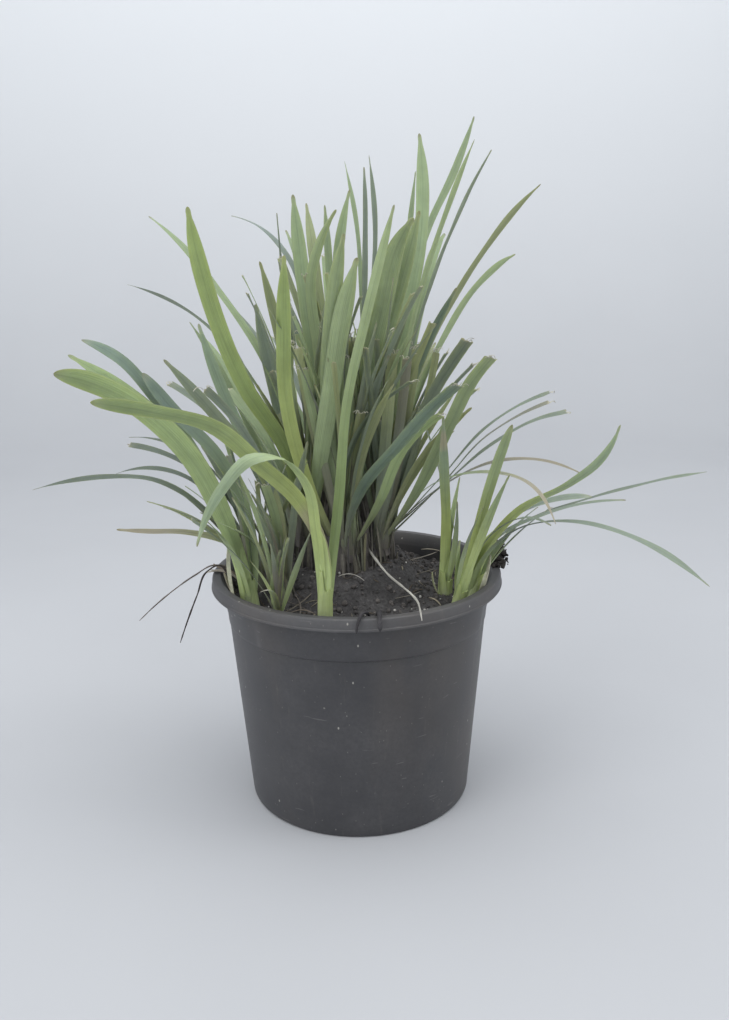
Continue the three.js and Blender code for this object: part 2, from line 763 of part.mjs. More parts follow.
// All leaves of all tufts: the stated ones first, then each tuft's fill, drawn until it is clear of the
// others.
function growTufts() {
  const tufts = TUFTS.map((tuft) => ({ ...tuft, top: groundAt(...tuft.at) + CROWN.collar, grown: [] }));
  for (const tuft of tufts) {
    tuft.leaves.forEach((row) => tuft.grown.push(rootedLeaf(tuft, row)));
  }
  tufts.forEach((tuft, number) => {
    const draw = seeded(1000 + 77 * number);
    let left = 6 * tuft.fill.count;
    let wanted = tuft.fill.count;
    while (wanted > 0 && left > 0) {
      left -= 1;
      const candidate = rootedLeaf(tuft, filledLeaf(tuft, draw));
      const others = tufts.filter((other) => other !== tuft).flatMap((other) => other.grown);
      if (isClear(candidate, others)) {
        tuft.grown.push(candidate);
        wanted -= 1;
      }
    }
  });
  return tufts;
}

function holeSolid(tuft) {
  const bottom = tuft.top - CROWN.collar - CROWN.sunk - GAP;
  const top = tuft.top + CROWN.collar;
  return solidOf(uprightCylinder(...tuft.at, bottom, top, tuft.foot + GAP, CROWN.sides));
}

// The crown that a tuft's leaves grow from, with the sheath that gathers them over the ground.
function crownSolid(tuft) {
  const [x, y] = tuft.at;
  const ring = (radius, z) =>
    Array.from({ length: CROWN.sides }, (_, i) => {
      const turn = ((i + 0.5) * 2 * Math.PI) / CROWN.sides;
      return new THREE.Vector3(x + radius * Math.cos(turn), y + radius * Math.sin(turn), z);
    });
  return solidOf(
    skinOf([
      ring(tuft.foot - GAP, tuft.top - CROWN.collar - CROWN.sunk),
      ring(tuft.foot - GAP, tuft.top),
      ring(CROWN.taper * tuft.foot, tuft.top + CROWN.sheath),
    ]),
  );
}

const tuftSolid = (tuft) => joined([crownSolid(tuft), ...tuft.grown.map(leafSolid)]);

// ---------------------------------------------------------------- roots, dry sheath and crumbs

const ROOTS = [
  {
    name: "root_cream",
    colour: 0xcfc4a6,
    thick: 1.8,
    thin: 1.3,
    points: [
      [7, -9, 172],
      [13, -31, 168.5],
      [20, -44, 163.5],
      [28, -56, 160],
      [34, -69, 158.4],
      [37, -90, 155.8],
    ],
  },
  {
    name: "root_loop_left",
    colour: 0x2a2422,
    thick: 2,
    thin: 1.6,
    points: [[6.5, -78, 140], [6, -86, 155], [3.2, -91.5, 156.3], [0.9, -96.6, 152], [0.1, -97, 147]],
  },
  {
    name: "root_loop_right",
    colour: 0x2a2422,
    thick: 3,
    thin: 2.6,
    points: [[12.5, -78, 140], [13, -85, 155], [13.2, -90, 156.8], [13.4, -96, 153], [13.6, -97, 148]],
  },
  {
    name: "root_left_long",
    colour: 0x8d8274,
    thick: 2,
    thin: 1.2,
    points: [[-78, 4, 138], [-86, 3, 155], [-94, 1, 157], [-107, 2, 150], [-121, 4, 140], [-147, 6, 117]],
  },
  {
    name: "root_left_short",
    colour: 0x7d7468,
    thick: 2,
    thin: 1.2,
    points: [
      [-76, -10, 138],
      [-82, -10, 152],
      [-89, -10, 160.5],
      [-97, -11, 156.5],
      [-104, -11, 141],
      [-117, -12, 108],
    ],
  },
];

const DRY_SHEATH = {
  width: 6,
  base: 0.5,
  across: 85,
  end: "blunt",
  roll: 0,
  fine: false,
  points: [[-75, -4, 144], [-83, -4, 153.4], [-91, -4, 155.1], [-99, -3, 153.2]],
};

const CRUMBS = {
  count: 8,
  radius: [3.6, 5.4],
  reach: 91, // from the pot's axis
  spread: [-1, 5.5],
  lift: [2.5, 5],
  azimuth: 8,
  step: 2.6,
};

// A round root along a few points, thinner at its end, with its first stretch in the ground. With a
// margin it is the hole that the root stands in, which is that much wider and deeper.
function rootSolid({ points, thick, thin }, margin) {
  const steps = 10;
  const sides = 5;
  const curve = curveThrough(points.map(v3));
  const rings = [];
  for (let i = 0; i <= steps; i++) {
    const t = i / steps;
    const tangent = tangentOf(curve, t);
    const side = new THREE.Vector3().crossVectors(AXIS_UP, tangent).normalize();
    const up = new THREE.Vector3().crossVectors(tangent, side);
    const radius = (thick + (thin - thick) * t) / 2 + margin;
    const centre = curve(t).addScaledVector(tangent, i === 0 ? -margin : 0);
    rings.push(
      Array.from({ length: sides }, (_, j) => {
        const turn = (j * 2 * Math.PI) / sides;
        return centre
          .clone()
          .addScaledVector(side, radius * Math.cos(turn))
          .addScaledVector(up, radius * Math.sin(turn));
      }),
    );
  }
  return solidOf(skinOf(rings));
}

function drySheathSolid() {
  return leafSolid(laidAlong(DRY_SHEATH, DRY_SHEATH.points.map(v3)));
}

// Peat crumbs that cling together, every second one down on the rim.
function crumbHeapSolid() {
  const draw = seeded(5);
  return joined(
    Array.from({ length: CRUMBS.count }, (_, i) => {
      const crumb = new THREE.IcosahedronGeometry(between(draw, CRUMBS.radius), 0)
        .rotateX(3 * draw())
        .rotateY(3 * draw());
      crumb.computeBoundingBox();
      const turn = radians(CRUMBS.azimuth + (i - (CRUMBS.count - 1) / 2) * CRUMBS.step);
      const out = CRUMBS.reach + (i % 2) * between(draw, CRUMBS.spread);
      const over = (i % 2) * between(draw, CRUMBS.lift);
      const seat = POT.height + GAP + over - crumb.boundingBox.min.z;
      return solidOf(crumb.translate(out * Math.cos(turn), out * Math.sin(turn), seat));
    }),
  );
}

// ---------------------------------------------------------------- the object

const material = (colour, roughness) =>
  new THREE.MeshStandardMaterial({ color: colour, roughness, metalness: 0 });

const tufts = growTufts();
const holes = [...tufts.map(holeSolid), ...ROOTS.map((root) => rootSolid(root, GAP))];
const soil = hollowed(soilSolid(), [moundSolid(GAP), ...holes]);
const mound = hollowed(moundSolid(0), holes);

const liriope = new THREE.Group();
liriope.name = "liriope_in_pot";
liriope.add(meshOf("pot", potSolid(), material(0x2b2b2e, 0.55)));
liriope.add(meshOf("soil", soil, material(0x2c211b, 0.95)));
liriope.add(meshOf("sheath_mound", mound, material(0x4a3a2e, 0.9)));
for (const tuft of tufts) {
  liriope.add(meshOf(tuft.name, tuftSolid(tuft), material(tuft.colour, 0.5)));
}
for (const root of ROOTS) {
  liriope.add(meshOf(root.name, rootSolid(root, 0), material(root.colour, 0.8)));
}
liriope.add(meshOf("sheath_dry", drySheathSolid(), material(0xb9ae9a, 0.85)));
liriope.add(meshOf("crumb_heap", crumbHeapSolid(), material(0x1f1814, 0.95)));

export default liriope;
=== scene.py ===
# Looks of the liriope in its nursery pot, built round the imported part.
# Shapes are worked out in millimetres in the part's own frame (+Z up, -Y the front) and written in metres.
import math
import random
from functools import partial, reduce

import bmesh
import bpy
import numpy as np
from mathutils import Matrix, Vector, noise


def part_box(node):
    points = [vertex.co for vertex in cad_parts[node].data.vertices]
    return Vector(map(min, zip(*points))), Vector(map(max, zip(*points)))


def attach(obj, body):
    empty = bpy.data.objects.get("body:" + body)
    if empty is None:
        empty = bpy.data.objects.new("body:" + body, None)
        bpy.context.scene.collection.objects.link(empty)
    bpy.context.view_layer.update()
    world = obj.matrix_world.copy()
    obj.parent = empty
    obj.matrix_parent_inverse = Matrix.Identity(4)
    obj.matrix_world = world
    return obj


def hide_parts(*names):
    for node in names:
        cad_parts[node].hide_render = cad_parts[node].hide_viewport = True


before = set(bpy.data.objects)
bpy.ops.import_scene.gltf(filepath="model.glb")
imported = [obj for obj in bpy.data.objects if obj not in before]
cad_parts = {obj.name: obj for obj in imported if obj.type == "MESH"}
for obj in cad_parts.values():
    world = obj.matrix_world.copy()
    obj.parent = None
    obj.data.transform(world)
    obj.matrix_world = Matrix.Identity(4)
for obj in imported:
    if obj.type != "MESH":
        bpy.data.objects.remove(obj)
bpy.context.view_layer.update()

MM = 0.001

# ---------- the part's own dimensions, as in its source

GAP = 0.3
POT = dict(
    rim_radius=95,
    height=154,
    base_radius=73.6,
    wall_growth=0.086,  # of the radius per millimetre of height
    wall=1.5,
    floor=4.2,
    rim_band=8,
    collar=2,
    collar_height=21,
    panel_middle=-79,
    panel_half=55,
    recess=(47, 61, 2.5),  # its inner and outer radius and its depth
    drains=6,
    drain_radius=4,
)
RECESS_LIP = ((2, 0), (1.2, 0.3))  # out from the recess, and up
FOOT_EDGE = ((2, 0), (0.9, 0.35), (0.2, 1.1))  # in from the base's edge, and up
BAND_EDGE = ((1.5, -0.05), (0.5, 0.15), (0, 0.8), (0.1, 1.6), (0.5, 2))  # in from the rim, and up its band
RIM_EDGE = ((0.7, 1.8), (1.1, 0.7), (2, 0.05), (3, 0), (5, 0), (6.2, 0.2), (7.2, 1.2))  # and down
SOIL = dict(level=143, lump=1.6, drop=3, heap=(80, 16, 9, 220), skirt=(17, 1.75))
MOUND = dict(x=-8, y=8, half_x=34, half_y=37, height=38, sunk=6, fall=0.35)
CROWN = dict(sunk=9, collar=4)
BLADE = dict(base=0.45, full_from=0.5, apart=1, pointed=38, rounded=20)
SAMPLES = 20
FILL_SEEDS = (1000, 77)  # the first tuft's, and the step to each next one's

# ---------- finer dimensions, of the looks only

FOLD = dict(foot=56, blade=12, done=0.3, curve=1.3)  # degrees, and the share of the run where it is open
WAVE = dict(height=0.25, length=9)
THICKNESS = dict(least=0.12, growth=0.06, most=0.5)
RAGGED = dict(notch=1.4, slant=0.9, curl=0.6)
FRAY = dict(length=(2, 5.5), width=(0.4, 0.8))
CRUMBS = dict(count=1900, reach=83, size=(0.4, 1.5), perlite=0.05)
HEAP = dict(count=620, middle=8, spread=4.6, reach=(87.5, 100), size=(0.45, 1.6))
FIBRES = dict(count=620, length=(12, 40), width=(0.7, 2.6))
LITTER = dict(count=110, reach=80, length=(3, 12), width=(0.3, 0.9))
SHEATHS = dict(count=26, height=(12, 48), spread=(24, 60), torn=1.3)
FAN_SHEATHS = (0.6, 0.4, 0.25)  # their heights, as shares of the stem's
SEEDS = dict(tufts=500, crumbs=7, heap=8, fibres=21, litter=33, feet=12, roots=11, strips=3)
GOLDEN = 137.5  # the degrees from one to the next of what is spread evenly round a middle
FULL_TURN = 6.2832

# ---------- colours, as shares of red, green, blue

TINTS = dict(
    lime=(0.345, 0.405, 0.142),
    fresh=(0.25, 0.32, 0.125),
    young=(0.27, 0.345, 0.165),
    pale=(0.3, 0.38, 0.25),
    mid=(0.275, 0.342, 0.186),
    dark=(0.188, 0.226, 0.166),
    teal=(0.15, 0.205, 0.15),
    blue=(0.205, 0.265, 0.172),
    grey=(0.18, 0.215, 0.18),
    olive=(0.265, 0.295, 0.155),
    dull=(0.17, 0.17, 0.125),
    # painted shade: a darker copy of the leaf greens for leaves that stand in shadow
    dim=(0.095, 0.12, 0.088),
    moss=(0.175, 0.232, 0.093),
    plum=(0.15, 0.135, 0.125),
    tan=(0.29, 0.255, 0.18),
)
FILLING_TINTS = ["mid", "dark", "mid", "olive", "dark", "mid"]
STALK_TINTS = ("dark", "mid", "dark", "dull>dark", "plum>dark", "dull>mid", "olive")
PALE_FOOT = (0.48, 0.58, 0.265)
DULL_FOOT = (0.19, 0.185, 0.14)
DRY_TIP = (0.18, 0.14, 0.09)
STRAW = (0.46, 0.42, 0.3)
CREAM = (0.56, 0.54, 0.44)
DARK_PEAT = (0.068, 0.065, 0.065)
BROWN_PEAT = (0.122, 0.111, 0.104)
BLACK_PEAT = (0.013, 0.011, 0.01)
PERLITE = (0.46, 0.45, 0.42)
CORE_BROWN = (0.085, 0.077, 0.071)
FIBRE_BROWNS = [
    (0.15, 0.137, 0.127),
    (0.18, 0.167, 0.145),
    (0.12, 0.113, 0.108),
    (0.21, 0.197, 0.158),
    (0.155, 0.16, 0.122),
]
LITTER_BROWNS = [(0.15, 0.12, 0.09), (0.1, 0.08, 0.06), (0.26, 0.23, 0.17)]

# ---------- studio, in metres and watts

FLOOR = dict(flat=(-3, -1, 0, 1), half=8, bend=0.9, steps=12, top=4)
WORLD = dict(colour=(0.86, 0.9, 0.95), strength=0.68)
LIGHTS = [  # name, place, aim, size, power
    ("top_soft", (0, -0.1, 1.7), (0, 0.1, 0), (2.4, 2.0), 26),
    ("front_left_soft", (-1.3, -1.2, 0.9), (0, 0, 0.2), (1.2, 1.2), 12),
    ("right_soft", (1.6, -0.2, 0.8), (0, 0, 0.15), (0.9, 1.2), 7),
]
CAMERA = dict(at=(5.8, -628.6, 361.5), pitch=14.98, roll=0.92, lens=1003, picture=1020)  # lens in pixels

# ---------- small helpers


def smooth(x, low, high):
    """0 up to low, 1 from high on, and an even step between."""
    share = np.clip((np.asarray(x, float) - low) / (high - low), 0, 1)
    return share * share * (3 - 2 * share)


def mixed(a, b, share):
    """Colour a turning into colour b; share may be an array, with the colour along a new last axis."""
    share = np.asarray(share, float)[..., None]
    return np.asarray(a, float) * (1 - share) + np.asarray(b, float) * share


def seeded(seed):
    """The same run of numbers from 0 to 1 that the part's source draws its filling leaves with."""
    state = seed

    def draw():
        nonlocal state
        state = (state * 1664525 + 1013904223) % 4294967296
        return state / 4294967296

    return draw


def between(draw, span):
    return span[0] + (span[1] - span[0]) * draw()


def unit(vectors):
    return vectors / np.maximum(np.linalg.norm(vectors, axis=-1, keepdims=True), 1e-9)


def polar(radius, turn):
    return radius * math.cos(turn), radius * math.sin(turn)


def level(azimuth):
    """The level unit vector at an azimuth in degrees."""
    return np.array([*polar(1, math.radians(azimuth)), 0.0])


def joined(*grids):
    """Grids of one value a point, broadcast and put side by side along a new last axis."""
    return np.stack(np.broadcast_arrays(*grids), axis=-1)


class Run:
    """A smooth curve through a few points, from 0 to 1: at each it has the slope of the parabola there."""

    def __init__(self, points):
        self.points = np.asarray(points, float)
        steps = np.diff(self.points, axis=0)
        self.spans = np.linalg.norm(steps, axis=1)
        self.ends = np.cumsum(self.spans)
        self.length = self.ends[-1]
        slopes = steps / self.spans[:, None]
        before, after = self.spans[:-1, None], self.spans[1:, None]
        inner = (slopes[:-1] * after + slopes[1:] * before) / (before + after)
        self.bends = np.vstack([2 * slopes[0] - inner[0], inner, 2 * slopes[-1] - inner[-1]])

    def at(self, t):
        along = np.asarray(t, float) * self.length
        span = np.searchsorted(self.ends[:-1], along, side="left")
        start = np.concatenate([[0], self.ends[:-1]])[span]
        size = self.spans[span][..., None]
        u = (along - start)[..., None] / size
        rest = 1 - u
        return (
            self.points[span] * rest * rest * (1 + 2 * u)
            + self.points[span + 1] * u * u * (1 + 2 * rest)
            + self.bends[span] * u * rest * rest * size
            - self.bends[span + 1] * u * u * rest * size
        )

    def tangent(self, t):
        t = np.asarray(t, float)
        return unit(self.at(np.clip(t + 0.01, 0, 1)) - self.at(np.clip(t - 0.01, 0, 1)))


class Shape:
    """Vertices in millimetres with a colour and a surface coordinate each, gathered into one mesh."""

    def __init__(self):
        self.points, self.colours, self.places, self.faces = [], [], [], []
        self.count = 0

    def add(self, points, faces, colours, places=None):
        points = np.asarray(points, float).reshape(-1, 3)
        colours = np.asarray(colours, float)
        if colours.ndim == 1:
            colours = np.broadcast_to(colours, (len(points), 3))
        places = np.zeros((len(points), 2)) if places is None else places
        self.points.append(points)
        self.colours.append(colours.reshape(-1, 3))
        self.places.append(places.reshape(-1, 2))
        self.faces.extend([[i + self.count for i in face] for face in faces])
        self.count += len(points)

    def piece(self, name, material, slot, nodes=(), sharp=40):
        """The object it makes, on the body; nodes are those of the part that it takes the place of."""
        points = np.concatenate(self.points) * MM
        mesh = bpy.data.meshes.new(name)
        mesh.from_pydata(points.tolist(), [], self.faces)
        tone = mesh.color_attributes.new(name="tone", type="FLOAT_COLOR", domain="POINT")
        colours = np.concatenate(self.colours)
        tone.data.foreach_set("color", np.hstack([colours, np.ones((len(colours), 1))]).ravel())
        corners = np.zeros(len(mesh.loops), int)
        mesh.loops.foreach_get("vertex_index", corners)
        places = np.concatenate(self.places)[corners]
        mesh.uv_layers.new(name="UVMap").data.foreach_set("uv", places.ravel())
        mesh.polygons.foreach_set("use_smooth", [True] * len(mesh.polygons))
        mesh.set_sharp_from_angle(angle=math.radians(sharp))
        mesh.materials.append(material)
        mesh.update()
        made = bpy.data.objects.new(name, mesh)
        bpy.context.scene.collection.objects.link(made)
        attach(made, "root")
        if nodes:
            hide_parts(*nodes)
        return made


def ring_faces(rings, sides):
    """The faces between rings of points that follow each other."""
    faces = []
    for i in range(rings - 1):
        a, b = i * sides, (i + 1) * sides
        faces.extend([a + j, a + (j + 1) % sides, b + (j + 1) % sides, b + j] for j in range(sides))
    return faces


def add_sheet(shape, front, thickness, colours, back_colours, places):
    """A thin closed sheet: a grid of points (rows, columns, 3), with its back a thickness behind it."""
    rows, columns = front.shape[:2]
    normals = unit(np.cross(np.gradient(front, axis=0), np.gradient(front, axis=1)))
    back = front + normals * thickness[..., None]
    ring = np.concatenate([front, back[:, ::-1]], axis=1)
    tones = np.concatenate([colours, back_colours[:, ::-1]], axis=1)
    spots = np.concatenate([places, places[:, ::-1]], axis=1)
    faces = ring_faces(rows, 2 * columns)
    last = (rows - 1) * 2 * columns
    for k in range(columns - 1):
        back_k = 2 * columns - 1 - k
        faces.append([k + 1, k, back_k, back_k - 1])
        faces.append([last + k, last + k + 1, last + back_k - 1, last + back_k])
    shape.add(ring, faces, tones.reshape(-1, 3), spots)


def add_tube(shape, run, radius_at, colour_at, steps, sides, across=None, flat_at=lambda t: 1):
    """A body along a run. Radius, colour and depth (a share of the width) go by how far along it is."""
    t = np.linspace(0, 1, steps)
    centre, tangent = run.at(t), run.tangent(t)
    if across is None:
        side = unit(np.cross(np.array([0.05, 0.1, 1.0]), tangent))
    else:
        side = unit(across - (tangent @ across)[:, None] * tangent)
    up = np.cross(tangent, side)
    turn = np.linspace(0, 2 * math.pi, sides, endpoint=False)
    radius = np.array([radius_at(x) for x in t])[:, None, None]
    flat = np.array([flat_at(x) for x in t])[:, None, None]
    ring = centre[:, None] + radius * (
        np.cos(turn)[None, :, None] * side[:, None] + flat * np.sin(turn)[None, :, None] * up[:, None]
    )
    faces = ring_faces(steps, sides)
    faces.append(list(range(sides))[::-1])
    faces.append([(steps - 1) * sides + j for j in range(sides)])
    colours = np.repeat(np.array([colour_at(x) for x in t])[:, None], sides, axis=1)
    shape.add(ring, faces, colours.reshape(-1, 3), joined(turn[None] / 6.3, (t * run.length)[:, None]))


# ---------- materials


class Surface:
    """A Principled material put together from nodes."""

    def __init__(self, name):
        self.material = bpy.data.materials.new(name)
        self.material.use_nodes = True
        self.nodes = self.material.node_tree.nodes
        self.links = self.material.node_tree.links
        self.shader = next(n for n in self.nodes if n.type == "BSDF_PRINCIPLED")

    def give(self, socket, value):
        """A socket's value, from another node or as it stands; a colour gets its fourth number."""
        if isinstance(value, bpy.types.NodeSocket):
            self.links.new(value, socket)
        else:
            socket.default_value = (*value, 1) if socket.type == "RGBA" else value

    def node(self, kind, inputs=None, **settings):
        made = self.nodes.new(kind)
        for key, value in settings.items():
            setattr(made, key, value)
        for key, value in (inputs or {}).items():
            self.give(made.inputs[key], value)
        return made

    def tone(self):
        return self.node("ShaderNodeVertexColor", layer_name="tone").outputs["Color"]

    def place(self, kind="Object", scale=(1, 1, 1)):
        where = self.node("ShaderNodeTexCoord").outputs[kind]
        return self.node("ShaderNodeMapping", {"Vector": where, "Scale": scale}).outputs["Vector"]

    def part_of(self, where, axis):
        return self.node("ShaderNodeSeparateXYZ", {0: where}).outputs[axis]

    def noise(self, where, scale, detail, roughness=0.55):
        inputs = {"Vector": where, "Scale": scale, "Detail": detail, "Roughness": roughness}
        return self.node("ShaderNodeTexNoise", inputs).outputs["Fac"]

    def specks(self, where, scale):
        return self.node("ShaderNodeTexVoronoi", {"Vector": where, "Scale": scale}).outputs["Distance"]

    def ranged(self, value, *limits):
        """The value, taken from between the first two limits to between the last two."""
        names = ("From Min", "From Max", "To Min", "To Max")
        return self.node("ShaderNodeMapRange", {"Value": value, **dict(zip(names, limits))}).outputs["Result"]

    def shaded(self, value, low, high):
        """A noise's middle stretch, taken to between low and high."""
        return self.ranged(value, 0.3, 0.7, low, high)

    def maths(self, operation, a, b=0.0):
        return self.node("ShaderNodeMath", {0: a, 1: b}, operation=operation).outputs[0]

    def times(self, *factors):
        return reduce(partial(self.maths, "MULTIPLY"), factors)

    def plus(self, a, b):
        return self.maths("ADD", a, b)

    def scaled(self, colour, value):
        return self.node("ShaderNodeVectorMath", {0: colour, "Scale": value}, operation="SCALE").outputs[0]

    def blended(self, share, a, b):
        return self.node("ShaderNodeMix", {"Factor": share, 6: a, 7: b}, data_type="RGBA").outputs[2]

    def finish(self, base, roughness, height=None, strength=0, distance=0, **values):
        """The shader's colour, roughness and bumps, with the values that are the same all over."""
        self.give(self.shader.inputs["Base Color"], base)
        self.give(self.shader.inputs["Roughness"], roughness)
        if height is not None:
            bump = self.node("ShaderNodeBump", {"Height": height, "Strength": strength, "Distance": distance})
            self.give(self.shader.inputs["Normal"], bump.outputs["Normal"])
        for name, value in values.items():
            self.shader.inputs[name.replace("_", " ")].default_value = value
        return self.material


def leaf_surface():
    """Fine long veins, painted shade along the sunken midrib and faint mottling over each leaf's own colour.
    """
    made = Surface("leaf_blade")
    across = made.part_of(made.place("UV"), "X")
    veins = made.maths("SINE", made.times(across, 2 * math.pi * 11))
    off_middle = made.maths("ABSOLUTE", made.maths("SUBTRACT", across, 0.5))
    streaks = made.noise(made.place("UV", (22, 0.04, 1)), 1.0, 4)
    shade = made.times(
        made.ranged(veins, -1, 1, 0.95, 1.03),
        made.shaded(streaks, 0.88, 1.1),
        made.shaded(made.noise(made.place(), 150, 4), 0.94, 1.05),
        made.ranged(made.noise(made.place(), 28, 3), 0.35, 0.65, 0.93, 1.07),
        # painted shade: darker along the crease of the midrib
        made.ranged(off_middle, 0.0, 0.07, 0.88, 1.0),
        made.ranged(off_middle, 0.45, 0.5, 1.0, 0.9),
    )
    return made.finish(
        made.scaled(made.tone(), shade),
        made.shaded(streaks, 0.46, 0.62),
        made.plus(made.times(veins, 0.5), made.times(streaks, 0.8)), 0.3, 0.0002,
        Subsurface_Weight=0.22,
        Subsurface_Scale=0.0015,
        Subsurface_Radius=(1.0, 1.0, 0.35),
        Specular_IOR_Level=0.35,
    )


def fibre_surface():
    """Dry, stringy old sheaths, roots and straws."""
    made = Surface("dry_fibre")
    streaks = made.noise(made.place("UV", (40, 0.25, 1)), 1.0, 6, 0.7)
    mottle = made.noise(made.place(), 260, 5, 0.65)
    shade = made.times(made.shaded(streaks, 0.6, 1.35), made.shaded(mottle, 0.75, 1.2))
    return made.finish(
        made.scaled(made.tone(), shade),
        made.shaded(mottle, 0.75, 0.95),
        made.plus(streaks, mottle), 0.6, 0.0005,
        Specular_IOR_Level=0.25,
    )


def soil_surface():
    """Damp peat: dark, with browner grains and pale specks."""
    made = Surface("peat")
    where = made.place()
    patches = made.noise(where, 70, 4, 0.6)
    grains = made.noise(where, 520, 6, 0.7)
    shade = made.times(made.shaded(patches, 0.7, 1.3), made.shaded(grains, 0.55, 1.5))
    base = made.scaled(made.tone(), shade)
    specks = made.ranged(made.specks(where, 330.0), 0.05, 0.1, 0.3, 0)
    return made.finish(
        made.blended(specks, base, (0.24, 0.22, 0.19)),
        made.shaded(grains, 0.8, 1.0),
        made.plus(grains, patches), 0.9, 0.0012,
        Specular_IOR_Level=0.2,
    )


def pot_surface():
    """Black moulded plastic with dust, pale specks, wipe marks, dried mud and fine scratches, and a painted
    highlight on the rim band.
    """
    made = Surface("pot_plastic")
    where = made.place()
    squashed = made.place("Object", (1, 1, 0.6))
    clouds = made.noise(where, 22, 4, 0.6)
    dust = made.noise(where, 420, 6, 0.75)
    # painted highlight: from the rim band up, the plastic is painted paler and rougher, on top of the dust
    # film
    rim = made.ranged(made.part_of(where, "Z"), 0.1455, 0.1465, 0, 1)
    film = made.times(made.ranged(clouds, 0.35, 0.7, 0.2, 1.0), made.ranged(dust, 0.35, 0.75, 0.3, 1.0))
    film = made.plus(film, made.times(rim, 0.55))
    base = made.blended(made.times(film, 0.17), (0.037, 0.037, 0.041), (0.3, 0.29, 0.285))
    marks = [
        (made.noise(made.place("Object", (1, 1, 0.3)), 16, 3, 0.5), 0.52, 0.68, 0, 0.2, (0.13, 0.105, 0.08)),
        (made.noise(made.place("Object", (1, 1, 0.12)), 120, 5, 0.7), 0.6, 0.74, 0, 0.2, (0.2, 0.18, 0.15)),
        (made.specks(squashed, 95.0), 0.035, 0.06, 0.6, 0, (0.5, 0.48, 0.43)),
        (made.specks(squashed, 240.0), 0.05, 0.09, 0.22, 0, (0.4, 0.38, 0.34)),
        (made.noise(made.place("Object", (1, 1, 8)), 60, 2, 0.5), 0.71, 0.74, 0, 0.25, (0.25, 0.24, 0.23)),
    ]
    for value, *limits, colour in marks:
        base = made.blended(made.ranged(value, *limits), base, colour)
    return made.finish(
        base,
        made.ranged(film, 0.0, 1.2, 0.38, 0.62),
        made.plus(made.times(dust, 0.4), clouds), 0.12, 0.0008,
        Specular_IOR_Level=0.5,
    )


def floor_surface():
    """A pale floor, with painted light that makes the backdrop lighter the higher it goes."""
    made = Surface("studio_floor")
    where = made.place()
    cloud = made.shaded(made.noise(where, 2.5, 3), 0, 1)
    floor = made.blended(cloud, (0.45, 0.46, 0.48), (0.475, 0.485, 0.505))
    # painted light: the backdrop gets lighter with height
    up = made.ranged(made.part_of(where, "Z"), 0.0, 1.0, 0, 1)
    return made.finish(made.blended(up, floor, (0.92, 0.94, 0.96)), 0.85, Specular_IOR_Level=0.2)


LEAF, FIBRE, PEAT, PLASTIC = leaf_surface(), fibre_surface(), soil_surface(), pot_surface()

# ---------- ground


def lumps(x, y):
    return (
        np.sin(x / 7.3 + 0.6) * np.cos(y / 6.1 - 0.4)
        + 0.7 * np.sin(x / 3.9 - y / 4.7)
        + 0.5 * np.cos(x / 15 + y / 11)
    )


def off_mound(x, y):
    return np.hypot((x - MOUND["x"]) / MOUND["half_x"], (y - MOUND["y"]) / MOUND["half_y"])


def soil_top(x, y):
    settled = SOIL["drop"] * smooth(np.hypot(x, y), 45, 85)
    heap_x, heap_y, rise, spread = SOIL["heap"]
    heaped = rise * np.exp(-((x - heap_x) ** 2 + (y - heap_y) ** 2) / spread)
    skirt, reach = SOIL["skirt"]
    drawn_up = skirt * (1 - smooth(off_mound(x, y), 1, reach))
    return float(SOIL["level"] - settled + heaped + drawn_up + SOIL["lump"] * lumps(x, y))


def mound_top(x, y):
    rise = MOUND["height"] * (1 - MOUND["fall"] * off_mound(x, y) ** 2)
    return float(SOIL["level"] + rise + 0.8 * lumps(1.7 * x, 1.7 * y))


def ground_at(x, y):
    return mound_top(x, y) if off_mound(x, y) < 1 else soil_top(x, y)


# ---------- the leaves, a row each


def leaf(end, width, across, tint, *points, roll=0, base=None, patch=None):
    """How it ends, its width, the azimuth its width runs along, its colour from foot to tip, and its run.

    base is the foot's share of the width where it isn't the tuft's, and patch a dead stretch of it."""
    shape = dict(end=end, width=width, across=across, points=points, roll=roll, base=base)
    return dict(shape, tint=tint, patch=patch)


pointed, blunt, cut = (partial(leaf, end) for end in ("point", "blunt", "cut"))


def fill(heading, lean, length, width, cut_share, count=0):
    """A rule to draw leaves by: the spans of their azimuth, lean, length and width, and the share cut."""
    return dict(heading=heading, lean=lean, length=length, width=width, cut=cut_share, count=count)


def clump(name, slot, at, foot, stalks, kind, filling, *leaves, base=BLADE["base"], stem=None, extra=()):
    """A tuft or fan: its place, its crown's radius, how many stalks of which kind, and its leaves.

    stem is half the width and the height of a young fan's stem. The extra leaves are in the looks only."""
    row = dict(name=name, slot=slot, at=at, foot=foot, stalks=stalks, kind=kind, fill=filling)
    return dict(row, leaves=leaves, base=base, stem=stem, extra=extra)


# The narrow leaves and leaf stalks among the stated ones, by where their tuft stands.
STALKS = dict(
    front=fill((205, 345), (1, 14), (75, 175), (2.4, 4.4), 0.65),
    low=fill((150, 330), (4, 38), (40, 105), (2.4, 4.2), 0.35),
    back=fill((0, 360), (0, 15), (60, 150), (2.8, 4.6), 0.45),
)

